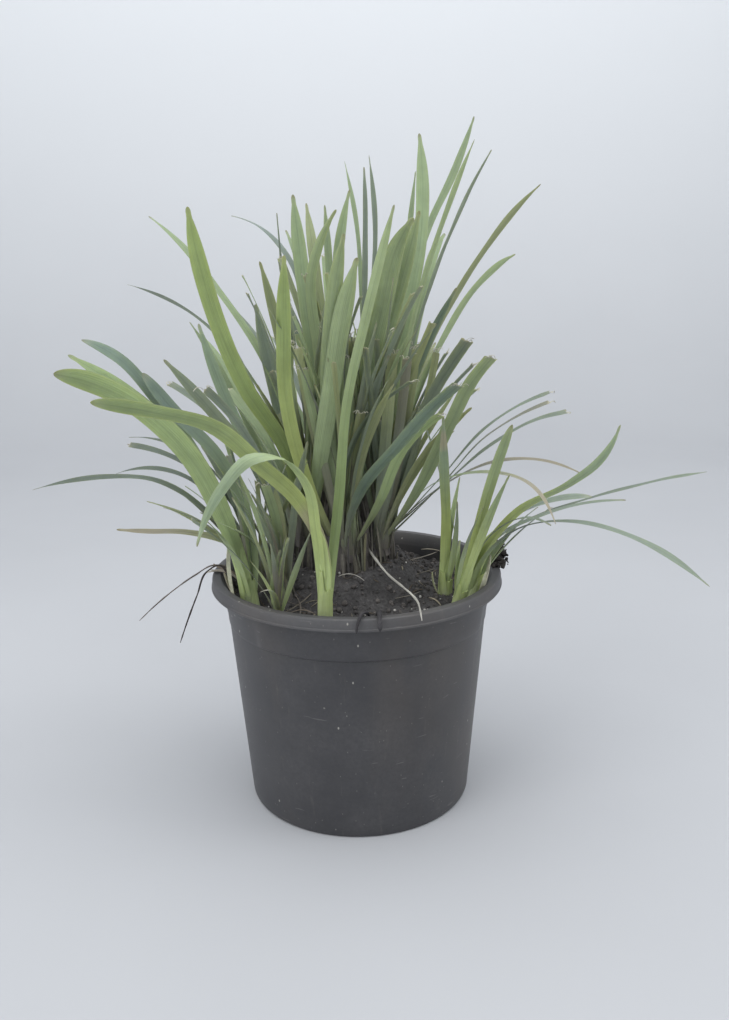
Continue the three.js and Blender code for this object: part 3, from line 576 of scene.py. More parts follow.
TUFTS = [
    clump(
        "fan_left", "leaf_young", (-65, -38), 5.5, 3, "back",
        fill((190, 260), (8, 20), (60, 90), (5, 7), 0, 2),
        blunt(12.5, 15, "young", (-78, -50, 202), (-99, -64, 251), (-133, -80, 285), (-159, -92, 296)),
        pointed(8.5, 30, "young", (-76, -43, 194), (-102, -48, 251), (-132, -58, 283), (-158, -66, 303)),
        blunt(8, 35, "mid>teal", (-92, -26, 227), (-121, -19, 271), (-141, -18, 295), (-163, -18, 307)),
        blunt(8.5, 30, "mid>teal", (-84, -30, 238), (-106, -26, 261), (-127, -22, 287)),
        base=0.85, stem=(4.6, 60),
    ),
    clump(
        "fan_left_mid", "leaf_green", (-44, -34), 6, 14, "low",
        fill((180, 320), (6, 26), (45, 110), (4, 6), 0.2, 4),
        pointed(7, 25, "olive>dark", (-56, -38, 229), (-73, -46, 255), (-106, -60, 299)),
        pointed(7, 10, "blue", (-57, -26, 226), (-74, -24, 263), (-93, -12, 315)),
        cut(5, 40, "dark", (-62, -46, 250), (-83, -66, 283)),
        cut(4.5, 60, "dark", (-78, -20, 251), (-114, -8, 279), roll=-25),
        base=0.6,
    ),
    clump(
        "shoot_left", "leaf_young", (-47, -57), 3.5, 9, "low",
        fill((180, 240), (10, 20), (30, 45), (3, 4), 0, 1),
        pointed(5.5, 20, "dark", (-49, -60, 165), (-44, -64, 187)),
        pointed(4, 10, "moss", (-45, -59, 168), (-40, -58, 193)),
        pointed(4.5, 30, "dark", (-37, -58, 169), (-26, -56, 196)),
        base=0.6, stem=(2.6, 14),
    ),
    clump(
        "tuft_low_left", "leaf_green", (-60, -10), 6, 12, "low",
        fill((120, 190), (15, 45), (70, 110), (4, 5.5), 0.2, 4),
        # painted shade: the darker tint on these low leaves stands for the shadow they lie in
        pointed(4, 85, "dim", (-101, 10, 226), (-124, 18, 237), (-149, 24, 239), roll=-20),
        cut(4.5, 75, "dim", (-92, 0, 214), (-114, 4, 228), (-147, 14, 236), roll=-35),
        pointed(5, 80, "dark>dim", (-88, -24, 196), (-123, -38, 225), (-144, -48, 229), (-184, -70, 227),
                roll=-25),
        pointed(5, 80, "dim", (-88, -8, 202), (-105, -6, 217), (-132, 2, 223), (-158, 8, 217), roll=-20),
        pointed(6, 60, "olive>tan", (-78, -25, 179), (-105, -34, 190), (-125, -42, 193), (-143, -50, 197),
                roll=-15),
    ),
    clump(
        "fan_front", "leaf_young", (-19, -70), 4.5, 0, "back",
        None,
        pointed(7, 0, "lime>pale", (-22, -76, 200), (-27, -82, 232), (-40, -90, 248), (-55, -98, 249),
                (-70, -109, 235), (-83, -121, 207), roll=-55),
        blunt(9.5, 10, "lime>young", (-21, -73, 198), (-33, -78, 222), (-51, -86, 242), (-74, -96, 266),
              (-104, -108, 277), (-134, -117, 284), base=0.5, patch=(0.2, 0.34)),
        pointed(5.5, 0, "moss>mid", (-14, -68, 178), (-9, -65, 217), (-3, -58, 274), (9, -54, 323),
                (25, -48, 381), base=1.4),
        base=0.8, stem=(3.8, 66),
    ),
    clump(
        "tuft_left", "leaf_dark", (-30, 0), 8, 22, "front",
        fill((140, 230), (6, 30), (70, 130), (5, 8), 0.3, 8),
        pointed(10, 5, "fresh", (-43, -16, 238), (-64, -28, 277), (-82, -35, 330), (-91, -40, 382), base=0.8),
        pointed(5.5, 40, "mid", (-60, 14, 296), (-87, 22, 336), (-108, 28, 362), (-128, 34, 379)),
        # painted shade: this leaf turns to the darker shadow tint towards its tip
        pointed(3.8, 75, "mid>dim", (-74, 26, 288), (-96, 36, 311), (-121, 48, 326), (-151, 62, 336),
                roll=-20),
        pointed(6.5, 15, "olive", (-44, 4, 297), (-55, -6, 351)),
        pointed(11, 5, "mid", (-20, -33, 237), (-12, -40, 281), (-6, -46, 316), (4, -52, 353)),
        pointed(9, 0, "dark", (-50, 12, 271), (-60, 6, 325)),
        cut(6, 10, "mid", (-40, -4, 250), (-38, -14, 303)),
    ),
    clump(
        "tuft_front", "leaf_green", (-6, -17), 8, 28, "front",
        fill((215, 325), (4, 20), (70, 130), (5, 8), 0.35, 7),
        pointed(8.5, 0, "lime>fresh", (-31, -36, 228), (-39, -46, 273), (-38, -56, 320), (-36, -62, 355),
                base=0.8),
        pointed(9, 5, "mid", (-15, -34, 272), (-10, -46, 330), (-3, -58, 366)),
        cut(8.5, 10, "teal", (2, -40, 212), (27, -66, 250), (48, -80, 276), (58, -88, 286)),
        cut(6.5, 10, "young", (15, -38, 208), (30, -50, 244), (51, -64, 266)),
        cut(5, 40, "dark", (8, -34, 258), (35, -42, 282)),
        cut(7, 0, "mid", (-14, -24, 250), (-28, -30, 288)),
        cut(7, 10, "mid", (-3, -26, 250), (-3, -32, 296)),
        extra=[
            cut(6, 0, "dull>olive", (-24, -24, 250), (-33, -25, 301)),
            cut(5, 10, "dull>mid", (-20, -32, 240), (-29, -36, 290)),
            cut(5.5, 0, "dull>olive", (-2, -22, 250), (0, -22, 305)),
        ],
    ),
    clump(
        "tuft_centre", "leaf_dark", (0, 8), 8, 16, "back",
        fill((0, 360), (2, 12), (110, 175), (5.5, 8.5), 0.35, 7),
        pointed(9, 5, "mid", (-26, 12, 300), (-32, 14, 357), (-35, 14, 390)),
        pointed(6.5, -10, "mid", (-22, 0, 300), (-24, -4, 343), (-8, -12, 380)),
        pointed(6.5, 10, "mid", (-9, 4, 309), (-7, 5, 360), (0, 6, 392)),
        pointed(5, 50, "dark", (13, 18, 326), (15, 22, 374), (12, 26, 413)),
        pointed(8.2, 0, "mid", (32, 10, 305), (44, 16, 371), (43, 24, 425)),
        cut(7, 10, "mid", (0, 0, 250), (0, -4, 306)),
        cut(7, 0, "dark", (12, 2, 250), (23, 4, 300)),
    ),
    clump(
        "tuft_right", "leaf_dark", (15, -5), 8, 20, "front",
        fill((-50, 20), (6, 34), (70, 120), (4.5, 7), 0.4, 7),
        pointed(4.5, 40, "mid", (43, 8, 331), (61, 16, 383), (77, 24, 421)),
        pointed(12, -5, "pale>mid", (9, -18, 281), (19, -27, 328), (27, -34, 359), (36, -42, 374)),
        pointed(6, 15, "teal", (46, -8, 300), (63, -16, 334)),
        cut(8.5, 15, "dark", (45, -20, 264), (61, -32, 294), (68, -38, 305)),
        cut(9, 15, "mid", (42, -30, 219), (57, -46, 257), (70, -58, 286), (79, -64, 298)),
        cut(5, 45, "dark", (52, -4, 260), (76, 2, 286)),
        cut(4.5, 80, "dark", (57, 0, 216), (86, 4, 247), (126, 8, 267), roll=20),
        cut(6, 65, "dark>dull", (54, -14, 212), (82, -28, 247), (116, -40, 268), roll=15),
        cut(4.5, 80, "dark", (60, 6, 210), (91, 16, 233), (116, 24, 245), (142, 32, 250), roll=25),
        pointed(4, 80, "dull>tan", (56, 8, 206), (97, 26, 219), (155, 46, 205), roll=25),
        pointed(3.8, 75, "mid>tan", (48, -16, 213), (86, -40, 226), (105, -72, 222), (112, -92, 208),
                roll=20),
        extra=[
            pointed(9, 0, "pale>mid", (22, -15, 310), (29, -21, 336), (35, -26, 359), (40, -30, 378)),
            cut(7, 5, "dark>olive", (20, -26, 250), (24, -30, 298)),
            cut(6, 10, "dark>dull", (27, -22, 245), (33, -26, 294)),
            cut(6, 15, "dull>olive", (32, -14, 250), (39, -18, 299)),
            cut(5, 20, "dark>olive", (42, -12, 250), (51, -18, 297)),
        ],
    ),
    clump(
        "tuft_back", "leaf_dark", (-10, 34), 8, 10, "back",
        fill((70, 150), (6, 38), (100, 190), (5.5, 8), 0.2, 11),
        pointed(6, 55, "mid>grey", (-31, 56, 305), (-41, 68, 348), (-61, 82, 371), (-83, 93, 380)),
        pointed(4.5, 70, "dark", (-42, 52, 306), (-50, 74, 381)),
        pointed(7.5, 25, "olive", (-22, 48, 325), (-30, 74, 387)),
        pointed(7, 50, "mid", (-28, 62, 320), (-46, 98, 370)),
        pointed(7, 45, "mid", (-14, 40, 320), (-17, 56, 385)),
        pointed(5, 55, "mid", (6, 52, 324), (4, 68, 366), (-4, 88, 414)),
        pointed(5.5, 50, "dark", (8, 42, 335), (9, 54, 408)),
        cut(8, 20, "mid", (-24, 36, 255), (-35, 36, 305)),
    ),
    clump(
        "tuft_back_right", "leaf_dark", (15, 32), 8, 12, "back",
        fill((10, 70), (6, 36), (90, 160), (5, 8), 0.3, 9),
        pointed(6.5, 45, "mid", (34, 40, 325), (51, 56, 371), (70, 76, 408), (84, 94, 442)),
        pointed(5, 60, "dark", (47, 58, 316), (74, 94, 378), (100, 124, 423)),
        pointed(8, 35, "mid", (44, 64, 312), (59, 94, 357), (66, 108, 366)),
        pointed(6, 65, "olive", (54, 40, 301), (84, 56, 349), (105, 68, 375), (128, 80, 397), roll=-30),
        pointed(8, 55, "mid", (56, 46, 290), (87, 72, 333), (115, 100, 351)),
        pointed(12, 15, "dark", (27, 44, 295), (45, 60, 336)),
        pointed(6, 55, "mid", (36, 58, 350), (44, 88, 407)),
        cut(7, 15, "dark", (22, 34, 250), (37, 38, 296)),
    ),
    clump(
        "fan_back_left", "leaf_green", (-42, 56), 7, 6, "back",
        fill((85, 175), (10, 42), (110, 190), (6, 9), 0.1, 9),
    ),
    clump(
        "fan_right_inner", "leaf_young", (56, -22), 4.5, 0, "back",
        None,
        pointed(6, 5, "lime>blue", (56, -33, 195), (53.5, -48, 229), (52, -57, 263.5), base=1.2,
                patch=(0.84, 0.92)),
        pointed(4, 20, "fresh>mid", (60, -22, 188), (66, -16, 218)),
        pointed(4, 10, "dark", (62, -29, 178), (63, -30, 206)),
        base=0.85, stem=(3.8, 32),
    ),
    clump(
        "fan_right_mid", "leaf_young", (62, -41), 4.5, 0, "back",
        fill((270, 320), (6, 14), (35, 50), (4, 5), 0, 1),
        blunt(7, 15, "lime>mid", (72, -44, 181), (80, -49, 217), (92, -56, 258)),
        pointed(6.5, 25, "lime>mid", (78, -50, 194), (91, -56, 228)),
        pointed(4.5, 50, "dark", (67, -52, 184), (76, -58, 210)),
        base=0.85, stem=(3.6, 30),
    ),
    clump(
        "fan_right_outer", "leaf_green", (70, -27), 4.5, 1, "back",
        fill((0, 50), (20, 40), (60, 90), (4, 5), 0.3, 2),
        pointed(7, 12, "lime>pale", (83, -33, 179), (100, -40, 202), (128, -48, 220), (144, -54, 235),
                (153, -62, 258)),
        # painted shade: these low leaves start in the darker shadow tint
        blunt(7, 60, "dim>dark", (90, -22, 186), (120, -14, 200), (152, -4, 201), roll=20),
        pointed(3.4, 80, "dim>dark", (89, -16, 178), (119, -6, 190), (157, 10, 197), (246, 56, 202), roll=20),
        pointed(5, 75, "dark", (90, -28, 182), (115, -30, 196), (166, -34, 206), roll=15),
        pointed(7, 42, "dim>dark", (83, -38, 176), (99, -50, 194), (130, -72, 203), (158, -96, 199),
                (190, -121, 180)),
        pointed(5.5, 55, "dark", (87, -44, 192), (98, -54, 201), (113, -74, 202)),
        base=0.85, stem=(4.4, 50),
    ),
]


def filled_leaf(tuft, rule, draw):
    """A leaf drawn by a rule, in the same order as the part's source draws it."""
    heading = math.radians(between(draw, rule["heading"]))
    lean = math.radians(between(draw, rule["lean"]))
    length = between(draw, rule["length"])
    width = between(draw, rule["width"])
    arch = 0.12 + 0.2 * draw()
    across = math.degrees(heading) + 90 + between(draw, (-45, 45))
    end = "cut" if draw() < rule["cut"] else "point"

    def run(share, sag):
        out = length * share * math.sin(lean) + length * sag * math.cos(lean) * 0.5
        return (
            tuft["at"][0] + out * math.cos(heading),
            tuft["at"][1] + out * math.sin(heading),
            tuft["top"] + length * share * math.cos(lean) - length * sag * math.sin(lean),
        )

    points = (run(0.52, 0.1 * arch), run(1, arch))
    return leaf(end, width, across, None, *points, roll=between(draw, (-25, 25)))


def rooted(tuft, row):
    """The leaf's whole run, from its place on the crown, a step beside the leaf before it."""
    x, y = tuft["at"]
    middle = row["points"][0]
    heading = math.atan2(middle[1] - y, middle[0] - x)
    leaning = math.hypot(middle[0] - x, middle[1] - y) / (middle[2] - tuft["top"])
    room = tuft["foot"] - 2.5
    off = room * min(1, 2 * leaning)
    beside = 1.6 * room * (((len(tuft["grown"]) * 0.618) % 1) - 0.5)
    root = (
        x + off * math.cos(heading) - beside * math.sin(heading),
        y + off * math.sin(heading) + beside * math.cos(heading),
        tuft["top"] - 2,
    )
    run = Run([root, *row["points"]])
    return dict(row, run=run, samples=run.at(np.arange(SAMPLES + 1) / SAMPLES))


def is_clear(row, starts, ends, widths):
    """True where no sample of the leaf comes near the stretches of the other tufts' leaves."""
    steps = ends - starts
    gaps = row["samples"][:, None] - starts[None]
    share = np.clip((gaps * steps).sum(-1) / (steps * steps).sum(-1), 0, 1)
    apart = np.linalg.norm(gaps - share[..., None] * steps, axis=-1)
    return bool((apart > (row["width"] + widths) / 2 + BLADE["apart"]).all())


def grow_tufts():
    tufts = [dict(t, top=ground_at(*t["at"]) + CROWN["collar"], grown=[]) for t in TUFTS]
    for tuft in tufts:
        for row in tuft["leaves"]:
            tuft["grown"].append(rooted(tuft, row))
    for number, tuft in enumerate(tufts):
        draw = seeded(FILL_SEEDS[0] + FILL_SEEDS[1] * number)
        others = [row for other in tufts if other is not tuft for row in other["grown"]]
        starts = np.concatenate([row["samples"][:-1] for row in others])
        ends = np.concatenate([row["samples"][1:] for row in others])
        widths = np.repeat([row["width"] for row in others], SAMPLES)
        wanted = tuft["fill"]["count"] if tuft["fill"] else 0
        for _ in range(6 * wanted):
            row = rooted(tuft, filled_leaf(tuft, tuft["fill"], draw))
            if is_clear(row, starts, ends, widths):
                tuft["grown"].append(row)
                wanted -= 1
            if wanted == 0:
                break
    return tufts


# ---------- leaf blades

STATIONS = 1 - (1 - np.linspace(0, 1, 42)) ** 1.7
COLUMNS = np.linspace(-1, 1, 9)


def taper(left, stretch, power):
    """What a taper over the last stretch of a leaf has left of 1: the higher the power, the blunter."""
    return 1 - np.clip(1 - left / stretch, 0, None) ** power


ENDS = dict(
    point=lambda left: np.maximum(taper(left, BLADE["pointed"], 2.2), 0.3 * np.sqrt(taper(left, 3, 2))),
    blunt=lambda left: np.sqrt(taper(left, BLADE["rounded"], 2)),
    cut=lambda left: np.ones_like(left),
)


def sides_along(row, tangents):
    """The side direction at each station: the stated azimuth kept square to the run, without flips."""
    plain = level(row["across"])
    sides = unit(plain - (tangents @ plain)[:, None] * tangents)
    for i in range(1, len(sides)):
        if sides[i] @ sides[i - 1] < 0:
            sides[i] = -sides[i]
    for _ in range(6):
        inner = (sides[:-2] + 2 * sides[1:-1] + sides[2:]) / 4
        sides = np.vstack([sides[:1], inner, sides[-1:]])
        sides = unit(sides - (sides * tangents).sum(-1, keepdims=True) * tangents)
    roll = np.radians(row["roll"] * STATIONS)[:, None]
    return sides * np.cos(roll) + np.cross(tangents, sides) * np.sin(roll)


def leaf_colours(row, dice, reach, length):
    """Colour along and across a leaf: pale at the foot, its tint from foot to tip, dry at the end."""
    tints = (row["tint"] or dice.choice(FILLING_TINTS)).split(">")
    shade = dice.uniform(0.9, 1.1)
    start, end = (np.multiply(TINTS[tints[i]], shade) for i in (0, -1))
    colours = mixed(start, end, smooth(reach / length, 0.3, 0.85))
    foot, strength, high = (PALE_FOOT, 0.7, 60) if row["pale"] else (DULL_FOOT, 0.65, 55)
    colours = mixed(colours, foot, strength * (1 - smooth(reach, 4, high)))
    if row["patch"]:
        low, top = row["patch"]
        share = reach / length
        dead = smooth(share, low - 0.02, low + 0.01) * (1 - smooth(share, top - 0.01, top + 0.03))
        colours = mixed(colours, TINTS["tan"], 0.75 * dead)
    left = length - reach
    if row["end"] == "cut":
        colours = mixed(colours, STRAW, 0.12 * (1 - smooth(left, 1.5, 8)))
        return mixed(colours, STRAW, 0.8 * (1 - smooth(left, 0.4, dice.uniform(1.0, 1.8))))
    colours = mixed(colours, STRAW, 0.2 * (1 - smooth(left, 2, 10)))
    return mixed(colours, DRY_TIP, dice.uniform(0.1, 0.7) * (1 - smooth(left, 0.4, 3)))


def add_blade(shape, tuft, row, dice):
    """One leaf: a folded strip along its run that opens, ripples and ends as its row says."""
    run, t = row["run"], STATIONS
    is_cut = row["end"] == "cut"
    tangents = run.tangent(t)
    sides = sides_along(row, tangents)
    ups = np.cross(tangents, sides)
    heading = run.at(0.75) * (1, 1, 0)
    wanted = np.array([0, 0, 0.6]) - heading / max(np.linalg.norm(heading), 1)
    facing = 1 if ups[24] @ wanted > 0 else -1
    base = row["base"] or tuft["base"]
    swell = base + (1 - base) * smooth(t, 0, BLADE["full_from"])
    if tuft["stem"]:
        half, height = tuft["stem"]
        inside = min(1.0, 1.7 * half / (base * row["width"]))
        swell = swell * (inside + (1 - inside) * smooth(t * run.length, 0.6 * height, 1.3 * height))
    width = np.maximum(0.35, row["width"] * swell * ENDS[row["end"]]((1 - t) * run.length))
    fold = np.radians(FOLD["foot"] - (FOLD["foot"] - FOLD["blade"]) * smooth(t, 0, FOLD["done"]))
    ragged = np.zeros(len(COLUMNS))
    if is_cut:
        slant = dice.uniform(-RAGGED["slant"], RAGGED["slant"])
        ragged = np.array([dice.uniform(0, RAGGED["notch"]) + slant * (s + 1) for s in COLUMNS]) / run.length
        ragged = np.clip(ragged - ragged.min(), 0, 0.2)
    reach = t[:, None] - smooth(t, 0.8, 1)[:, None] * ragged[None]
    along = reach * run.length
    half = (width / 2)[:, None] * np.ones_like(reach)
    opened = math.cos(math.radians(FOLD["blade"] * 0.8))
    lateral = half * COLUMNS[None] * np.cos(fold * 0.8)[:, None] / opened
    rise = half * (np.abs(COLUMNS) ** FOLD["curve"] - 0.45)[None] * np.sin(fold)[:, None]
    phase = dice.uniform(0, 6) + 2 * COLUMNS[None]
    wave = WAVE["height"] * np.sin(t[:, None] * run.length / WAVE["length"] + phase)
    wave = wave * smooth(t, 0.2, 0.5)[:, None]
    if is_cut:
        curl = np.array([dice.uniform(-RAGGED["curl"], RAGGED["curl"]) for _ in COLUMNS])
        wave = wave + smooth(t, 0.97, 1)[:, None] * curl[None]
    front = (
        run.at(np.clip(reach, 0, 1))
        + lateral[..., None] * sides[:, None]
        + (facing * (rise + wave * np.abs(COLUMNS)))[..., None] * ups[:, None]
    )
    thick = np.minimum(THICKNESS["most"], THICKNESS["least"] + THICKNESS["growth"] * width)
    thick = thick[:, None] * (1.05 - COLUMNS[None] ** 2)
    colours = leaf_colours(row, dice, along, run.length)
    under = colours * np.array([0.97, 1.0, 1.06]) + 0.01
    add_sheet(shape, front, facing * thick, colours, under, joined((COLUMNS[None] + 1) / 2, along))


def add_straw(shape, run, width, colour, dice, thickness=0.25, foot=None):
    """A flat dry fibre along a run, from the foot's colour, where it has one, to its own."""
    t = np.linspace(0, 1, 14)
    side = unit(np.cross(run.tangent(t), np.array([dice.uniform(-0.5, 0.5), dice.uniform(-0.5, 0.5), 1.0])))
    taper_off = (width / 2 * (1 - 0.6 * np.abs(2 * t - 1) ** 3))[:, None, None]
    across = np.array([-1, 0, 1])
    front = run.at(t)[:, None] + taper_off * across[None, :, None] * side[:, None]
    tones = mixed(colour if foot is None else foot, colour, smooth(t, 0, 0.45))[:, None]
    tones = np.broadcast_to(tones, front.shape)
    places = joined((across[None] + 1) / 2, (t * run.length)[:, None])
    add_sheet(shape, front, np.full(front.shape[:2], thickness), tones, tones, places)


def add_straws(shape, rows, dice, thickness=0.25):
    for points, width, colour in rows:
        add_straw(shape, Run(points), width, colour, dice, thickness)


def add_frays(shape, row, count, dice):
    """Pale fibres that curl from the end of a leaf that was cut."""
    end, ahead = row["run"].at(1.0), row["run"].tangent(1.0)
    side = unit(level(row["across"]))
    for _ in range(count):
        start = end + side * dice.uniform(-0.4, 0.4) * row["width"] - ahead * 0.8
        way = dice.choice((-1, 1))
        length = dice.uniform(*FRAY["length"])
        bow = start + ahead * 0.55 * length + side * way * 0.25 * length
        tip = bow + side * way * length * dice.uniform(0.3, 0.8) + ahead * length * dice.uniform(-0.5, 0.2)
        tip[2] -= dice.uniform(0, 0.35) * length
        colour = np.multiply(CREAM, dice.uniform(0.7, 1.15))
        add_straw(shape, Run([start, bow, tip]), dice.uniform(*FRAY["width"]), colour, dice, 0.2)


# ---------- what stands at the foot of each tuft


def add_sheath(shape, centre, turn, spread, radii, heights, lean, colours, dice, ragged):
    """An old leaf's sheath: a bowed strip that clasps the crown, narrower and torn towards its top."""
    rows, columns = 9, 7
    v = np.linspace(0, 1, rows)[:, None]
    u = np.linspace(-0.5, 0.5, columns)[None]
    tear = np.array([dice.uniform(0, ragged) for _ in range(columns)])[None]
    high = heights[0] + (heights[1] - heights[0]) * v * (1 - 0.22 * tear * v)
    radius = radii[0] + (radii[1] - radii[0]) * v + dice.uniform(-0.3, 0.3)
    angle = math.radians(turn) + math.radians(spread) * u * (1 - 0.55 * v)
    rise = high - heights[0]
    front = joined(
        centre[0] + 1.12 * radius * np.cos(angle) + lean[0] * rise,
        centre[1] + 0.85 * radius * np.sin(angle) + lean[1] * rise,
        high,
    )
    tones = mixed(*colours, smooth(v + 0 * u, 0.1, 0.8))
    add_sheet(shape, front, np.full((rows, columns), -0.45), tones, tones * 0.9, joined(u + 0.5, rise))


def leaning_of(tuft, ground):
    """How far a tuft's leaves lean out for each millimetre up, near its foot."""
    heads = np.array([row["run"].at(0.25) for row in tuft["grown"]]).mean(0)
    return (heads - (*tuft["at"], ground))[:2] / (heads[2] - ground)


def stem_run(tuft, ground, height):
    """The middle of the stem that a young fan's leaf feet make, up to where they part."""
    runs = [row["run"] for row in tuft["grown"][:2]]

    def middle(over):
        return np.mean([run.at(min(1, over / run.length)) for run in runs], axis=0)

    foot = np.array([*tuft["at"], ground - CROWN["sunk"]])
    return Run([foot, middle(2), middle(0.5 * height), middle(height)])


def dress_fan(tuft, dice):
    """The flat stem of a young fan, leaf foot clasping leaf foot, with its outer sheaths."""
    half, height = tuft["stem"]
    ground = tuft["top"] - CROWN["collar"]
    first = tuft["grown"][0]
    tint = TINTS[first["tint"].split(">")[0]]
    shape = Shape()
    add_tube(
        shape,
        stem_run(tuft, ground, height),
        lambda t: half * (0.94 + 0.06 * t - 0.45 * float(smooth(t, 0.82, 1))),
        lambda t: mixed(PALE_FOOT, tint, 0.7 * float(smooth(t, 0.35, 0.95))),
        40, 24, level(first["across"]),
        lambda t: 0.62 - 0.4 * t,
    )
    lean = leaning_of(tuft, ground)
    tones = (mixed(PALE_FOOT, CREAM, 0.25), mixed(tint, PALE_FOOT, 0.55))
    for i, share in enumerate(FAN_SHEATHS):
        heights = (ground - 4, ground + share * height)
        radii = (half * (0.98 + 0.04 * i), half * 0.9)
        add_sheath(shape, tuft["at"], 200 + 110 * i, 210, radii, heights, lean, tones, dice, 0.35)
    return shape


def dress_crown(tuft, dice):
    """The narrow, brown and torn leaf feet round an old crown."""
    shape = Shape()
    x, y = tuft["at"]
    foot, ground = tuft["foot"], tuft["top"] - CROWN["collar"]
    core = Run([(x, y, ground + over) for over in (-CROWN["sunk"], 4, 20)])
    add_tube(shape, core, lambda t: foot * (0.9 - 0.6 * t), lambda t: TINTS["plum"], 8, 16)
    lean = leaning_of(tuft, ground)
    for i in range(SHEATHS["count"]):
        tones = (
            mixed(TINTS["plum"], TINTS["dull"], dice.random()),
            mixed(TINTS["dull"], TINTS["mid"], 0.8 * dice.random()),
        )
        heights = (ground - 4, ground + dice.uniform(*SHEATHS["height"]))
        turn = i * GOLDEN + dice.uniform(-15, 15)
        radii = (foot * dice.uniform(0.6, 1.0), foot * dice.uniform(0.35, 0.75))
        spread = dice.uniform(*SHEATHS["spread"])
        add_sheath(shape, (x, y), turn, spread, radii, heights, lean, tones, dice, SHEATHS["torn"])
    return shape


def dress_tuft(tuft, number):
    """Its leaves in the order that they were grown in, the scene's own leaves, the stalks and the foot."""
    dice = random.Random(SEEDS["tufts"] + number)
    name, slot, young = tuft["name"], tuft["slot"], tuft["stem"] is not None
    leaves, fibres = Shape(), Shape()
    for row in tuft["grown"]:
        add_blade(leaves, tuft, dict(row, pale=young), dice)
        if row["end"] == "cut":
            add_frays(fibres, row, dice.choice((2, 3, 4)), dice)
    for row in tuft["extra"]:
        row = rooted(tuft, row)
        add_blade(leaves, dict(tuft, base=0.7), dict(row, pale=False), dice)
        if row["end"] == "cut":
            add_frays(fibres, row, 5, dice)
    for _ in range(tuft["stalks"]):
        row = rooted(tuft, filled_leaf(tuft, STALKS[tuft["kind"]], dice.random))
        add_blade(leaves, dict(tuft, base=0.8), dict(row, tint=dice.choice(STALK_TINTS), pale=False), dice)
        tuft["grown"].append(row)
        if row["end"] == "cut" and dice.random() < 0.35:
            add_frays(fibres, row, 1, dice)
    leaves.piece(name + "_leaves", LEAF, slot, [name])
    if fibres.count:
        fibres.piece(name + "_frays", FIBRE, "old_sheath")
    foot = dress_fan(tuft, dice) if young else dress_crown(tuft, dice)
    foot.piece(name + "_foot", LEAF, slot, [name])


# ---------- pot


def wall_radius(z):
    return POT["base_radius"] + POT["wall_growth"] * z


def panel_share(azimuth):
    turn = (azimuth - POT["panel_middle"]) % 180
    off = min(turn, 180 - turn)
    return 1 - float(smooth(off, POT["panel_half"] - 2, POT["panel_half"] + 2))


def pot_outline(azimuth):
    """Radius and height down the outside, over the rim and down the inside, for one azimuth."""
    top, rim, floor, base = POT["height"], POT["rim_radius"], POT["floor"], POT["base_radius"]
    band = top - POT["rim_band"]
    panel = panel_share(azimuth)
    step = band - POT["collar_height"]
    out = POT["collar"] * panel + 0.25 * POT["collar"] * (1 - panel)
    recess_in, recess_out, depth = POT["recess"]

    def wall(z, over=0.0):
        return wall_radius(z) + over, z

    return [
        (0, 0),
        *[(recess_in - out_by, up) for out_by, up in RECESS_LIP],
        (recess_in, depth),
        (recess_out, depth),
        *[(recess_out + out_by, up) for out_by, up in reversed(RECESS_LIP)],
        *[(base - inset, up) for inset, up in FOOT_EDGE],
        *map(wall, (2.2, *np.linspace(8, step - 6, 9), step - 1.9, step - 1.5)),
        (wall_radius(step) + 0.85 * out, step - 0.25),
        (wall_radius(step + 0.4) + out, step + 0.5),
        wall(step + 6, out * 0.9 + 0.05),
        wall(band - 4, POT["collar"] + 0.1),
        (wall_radius(band) + POT["collar"] + 0.3, band - 0.1),
        *[(rim - inset, band + up) for inset, up in BAND_EDGE],
        *[(rim - inset, top - down) for inset, down in RIM_EDGE],
        *[wall(z, -POT["wall"]) for z in (top - 6, 120, 90, 60, 30, floor + 2.5)],
        (wall_radius(floor) - POT["wall"] - 1.5, floor + 0.6),
        wall(floor, -POT["wall"] - 4),
        (0, floor),
    ]


def turned_shape(outline_of, sectors, colour):
    """A body of revolution whose outline may change with the azimuth, first and last point on the axis."""
    shape = Shape()
    rows = np.array([outline_of(s * 360 / sectors) for s in range(sectors)])
    turn = np.linspace(0, 2 * math.pi, sectors, endpoint=False)[:, None]
    radius, high = rows[:, 1:-1, 0], rows[:, 1:-1, 1]
    skin = np.swapaxes(joined(radius * np.cos(turn), radius * np.sin(turn), high), 0, 1)
    rings = skin.shape[0]
    faces = ring_faces(rings, sectors)
    bottom, top = rings * sectors, rings * sectors + 1
    for j in range(sectors):
        k = (j + 1) % sectors
        faces.append([bottom, k, j])
        faces.append([top, (rings - 1) * sectors + j, (rings - 1) * sectors + k])
    points = np.vstack([skin.reshape(-1, 3), [[0, 0, rows[0, 0, 1]], [0, 0, rows[0, -1, 1]]]])
    shape.add(points, faces, colour)
    return shape


def make_pot():
    """The turned shell, with its drain holes cut through the floor."""
    shape = turned_shape(pot_outline, 192, (0.03, 0.03, 0.03))
    pot = shape.piece("pot_shell", PLASTIC, "pot_plastic", ["pot"], 28)
    ring = sum(POT["recess"][:2]) / 2
    cutters = Shape()
    for i in range(POT["drains"]):
        x, y = polar(ring, i * 2 * math.pi / POT["drains"])
        run = Run([(x, y, z) for z in (-2, 2, POT["floor"] + 2)])
        add_tube(cutters, run, lambda t: POT["drain_radius"], lambda t: (0, 0, 0), 2, 28)
    holes = cutters.piece("drain_cutters", PLASTIC, "pot_plastic")
    drill = pot.modifiers.new("drains", "BOOLEAN")
    drill.operation = "DIFFERENCE"
    drill.object = holes
    drill.solver = "EXACT"
    with bpy.context.temp_override(object=pot, active_object=pot, selected_objects=[pot]):
        bpy.ops.object.modifier_apply(modifier=drill.name)
    bpy.data.objects.remove(holes)
    pot.data.set_sharp_from_angle(angle=math.radians(28))


# ---------- soil, rootstock and what lies on them


def bumpy(x, y, scale, seed):
    return noise.fractal(Vector((x / scale, y / scale, seed)), 0.8, 2.1, 4)


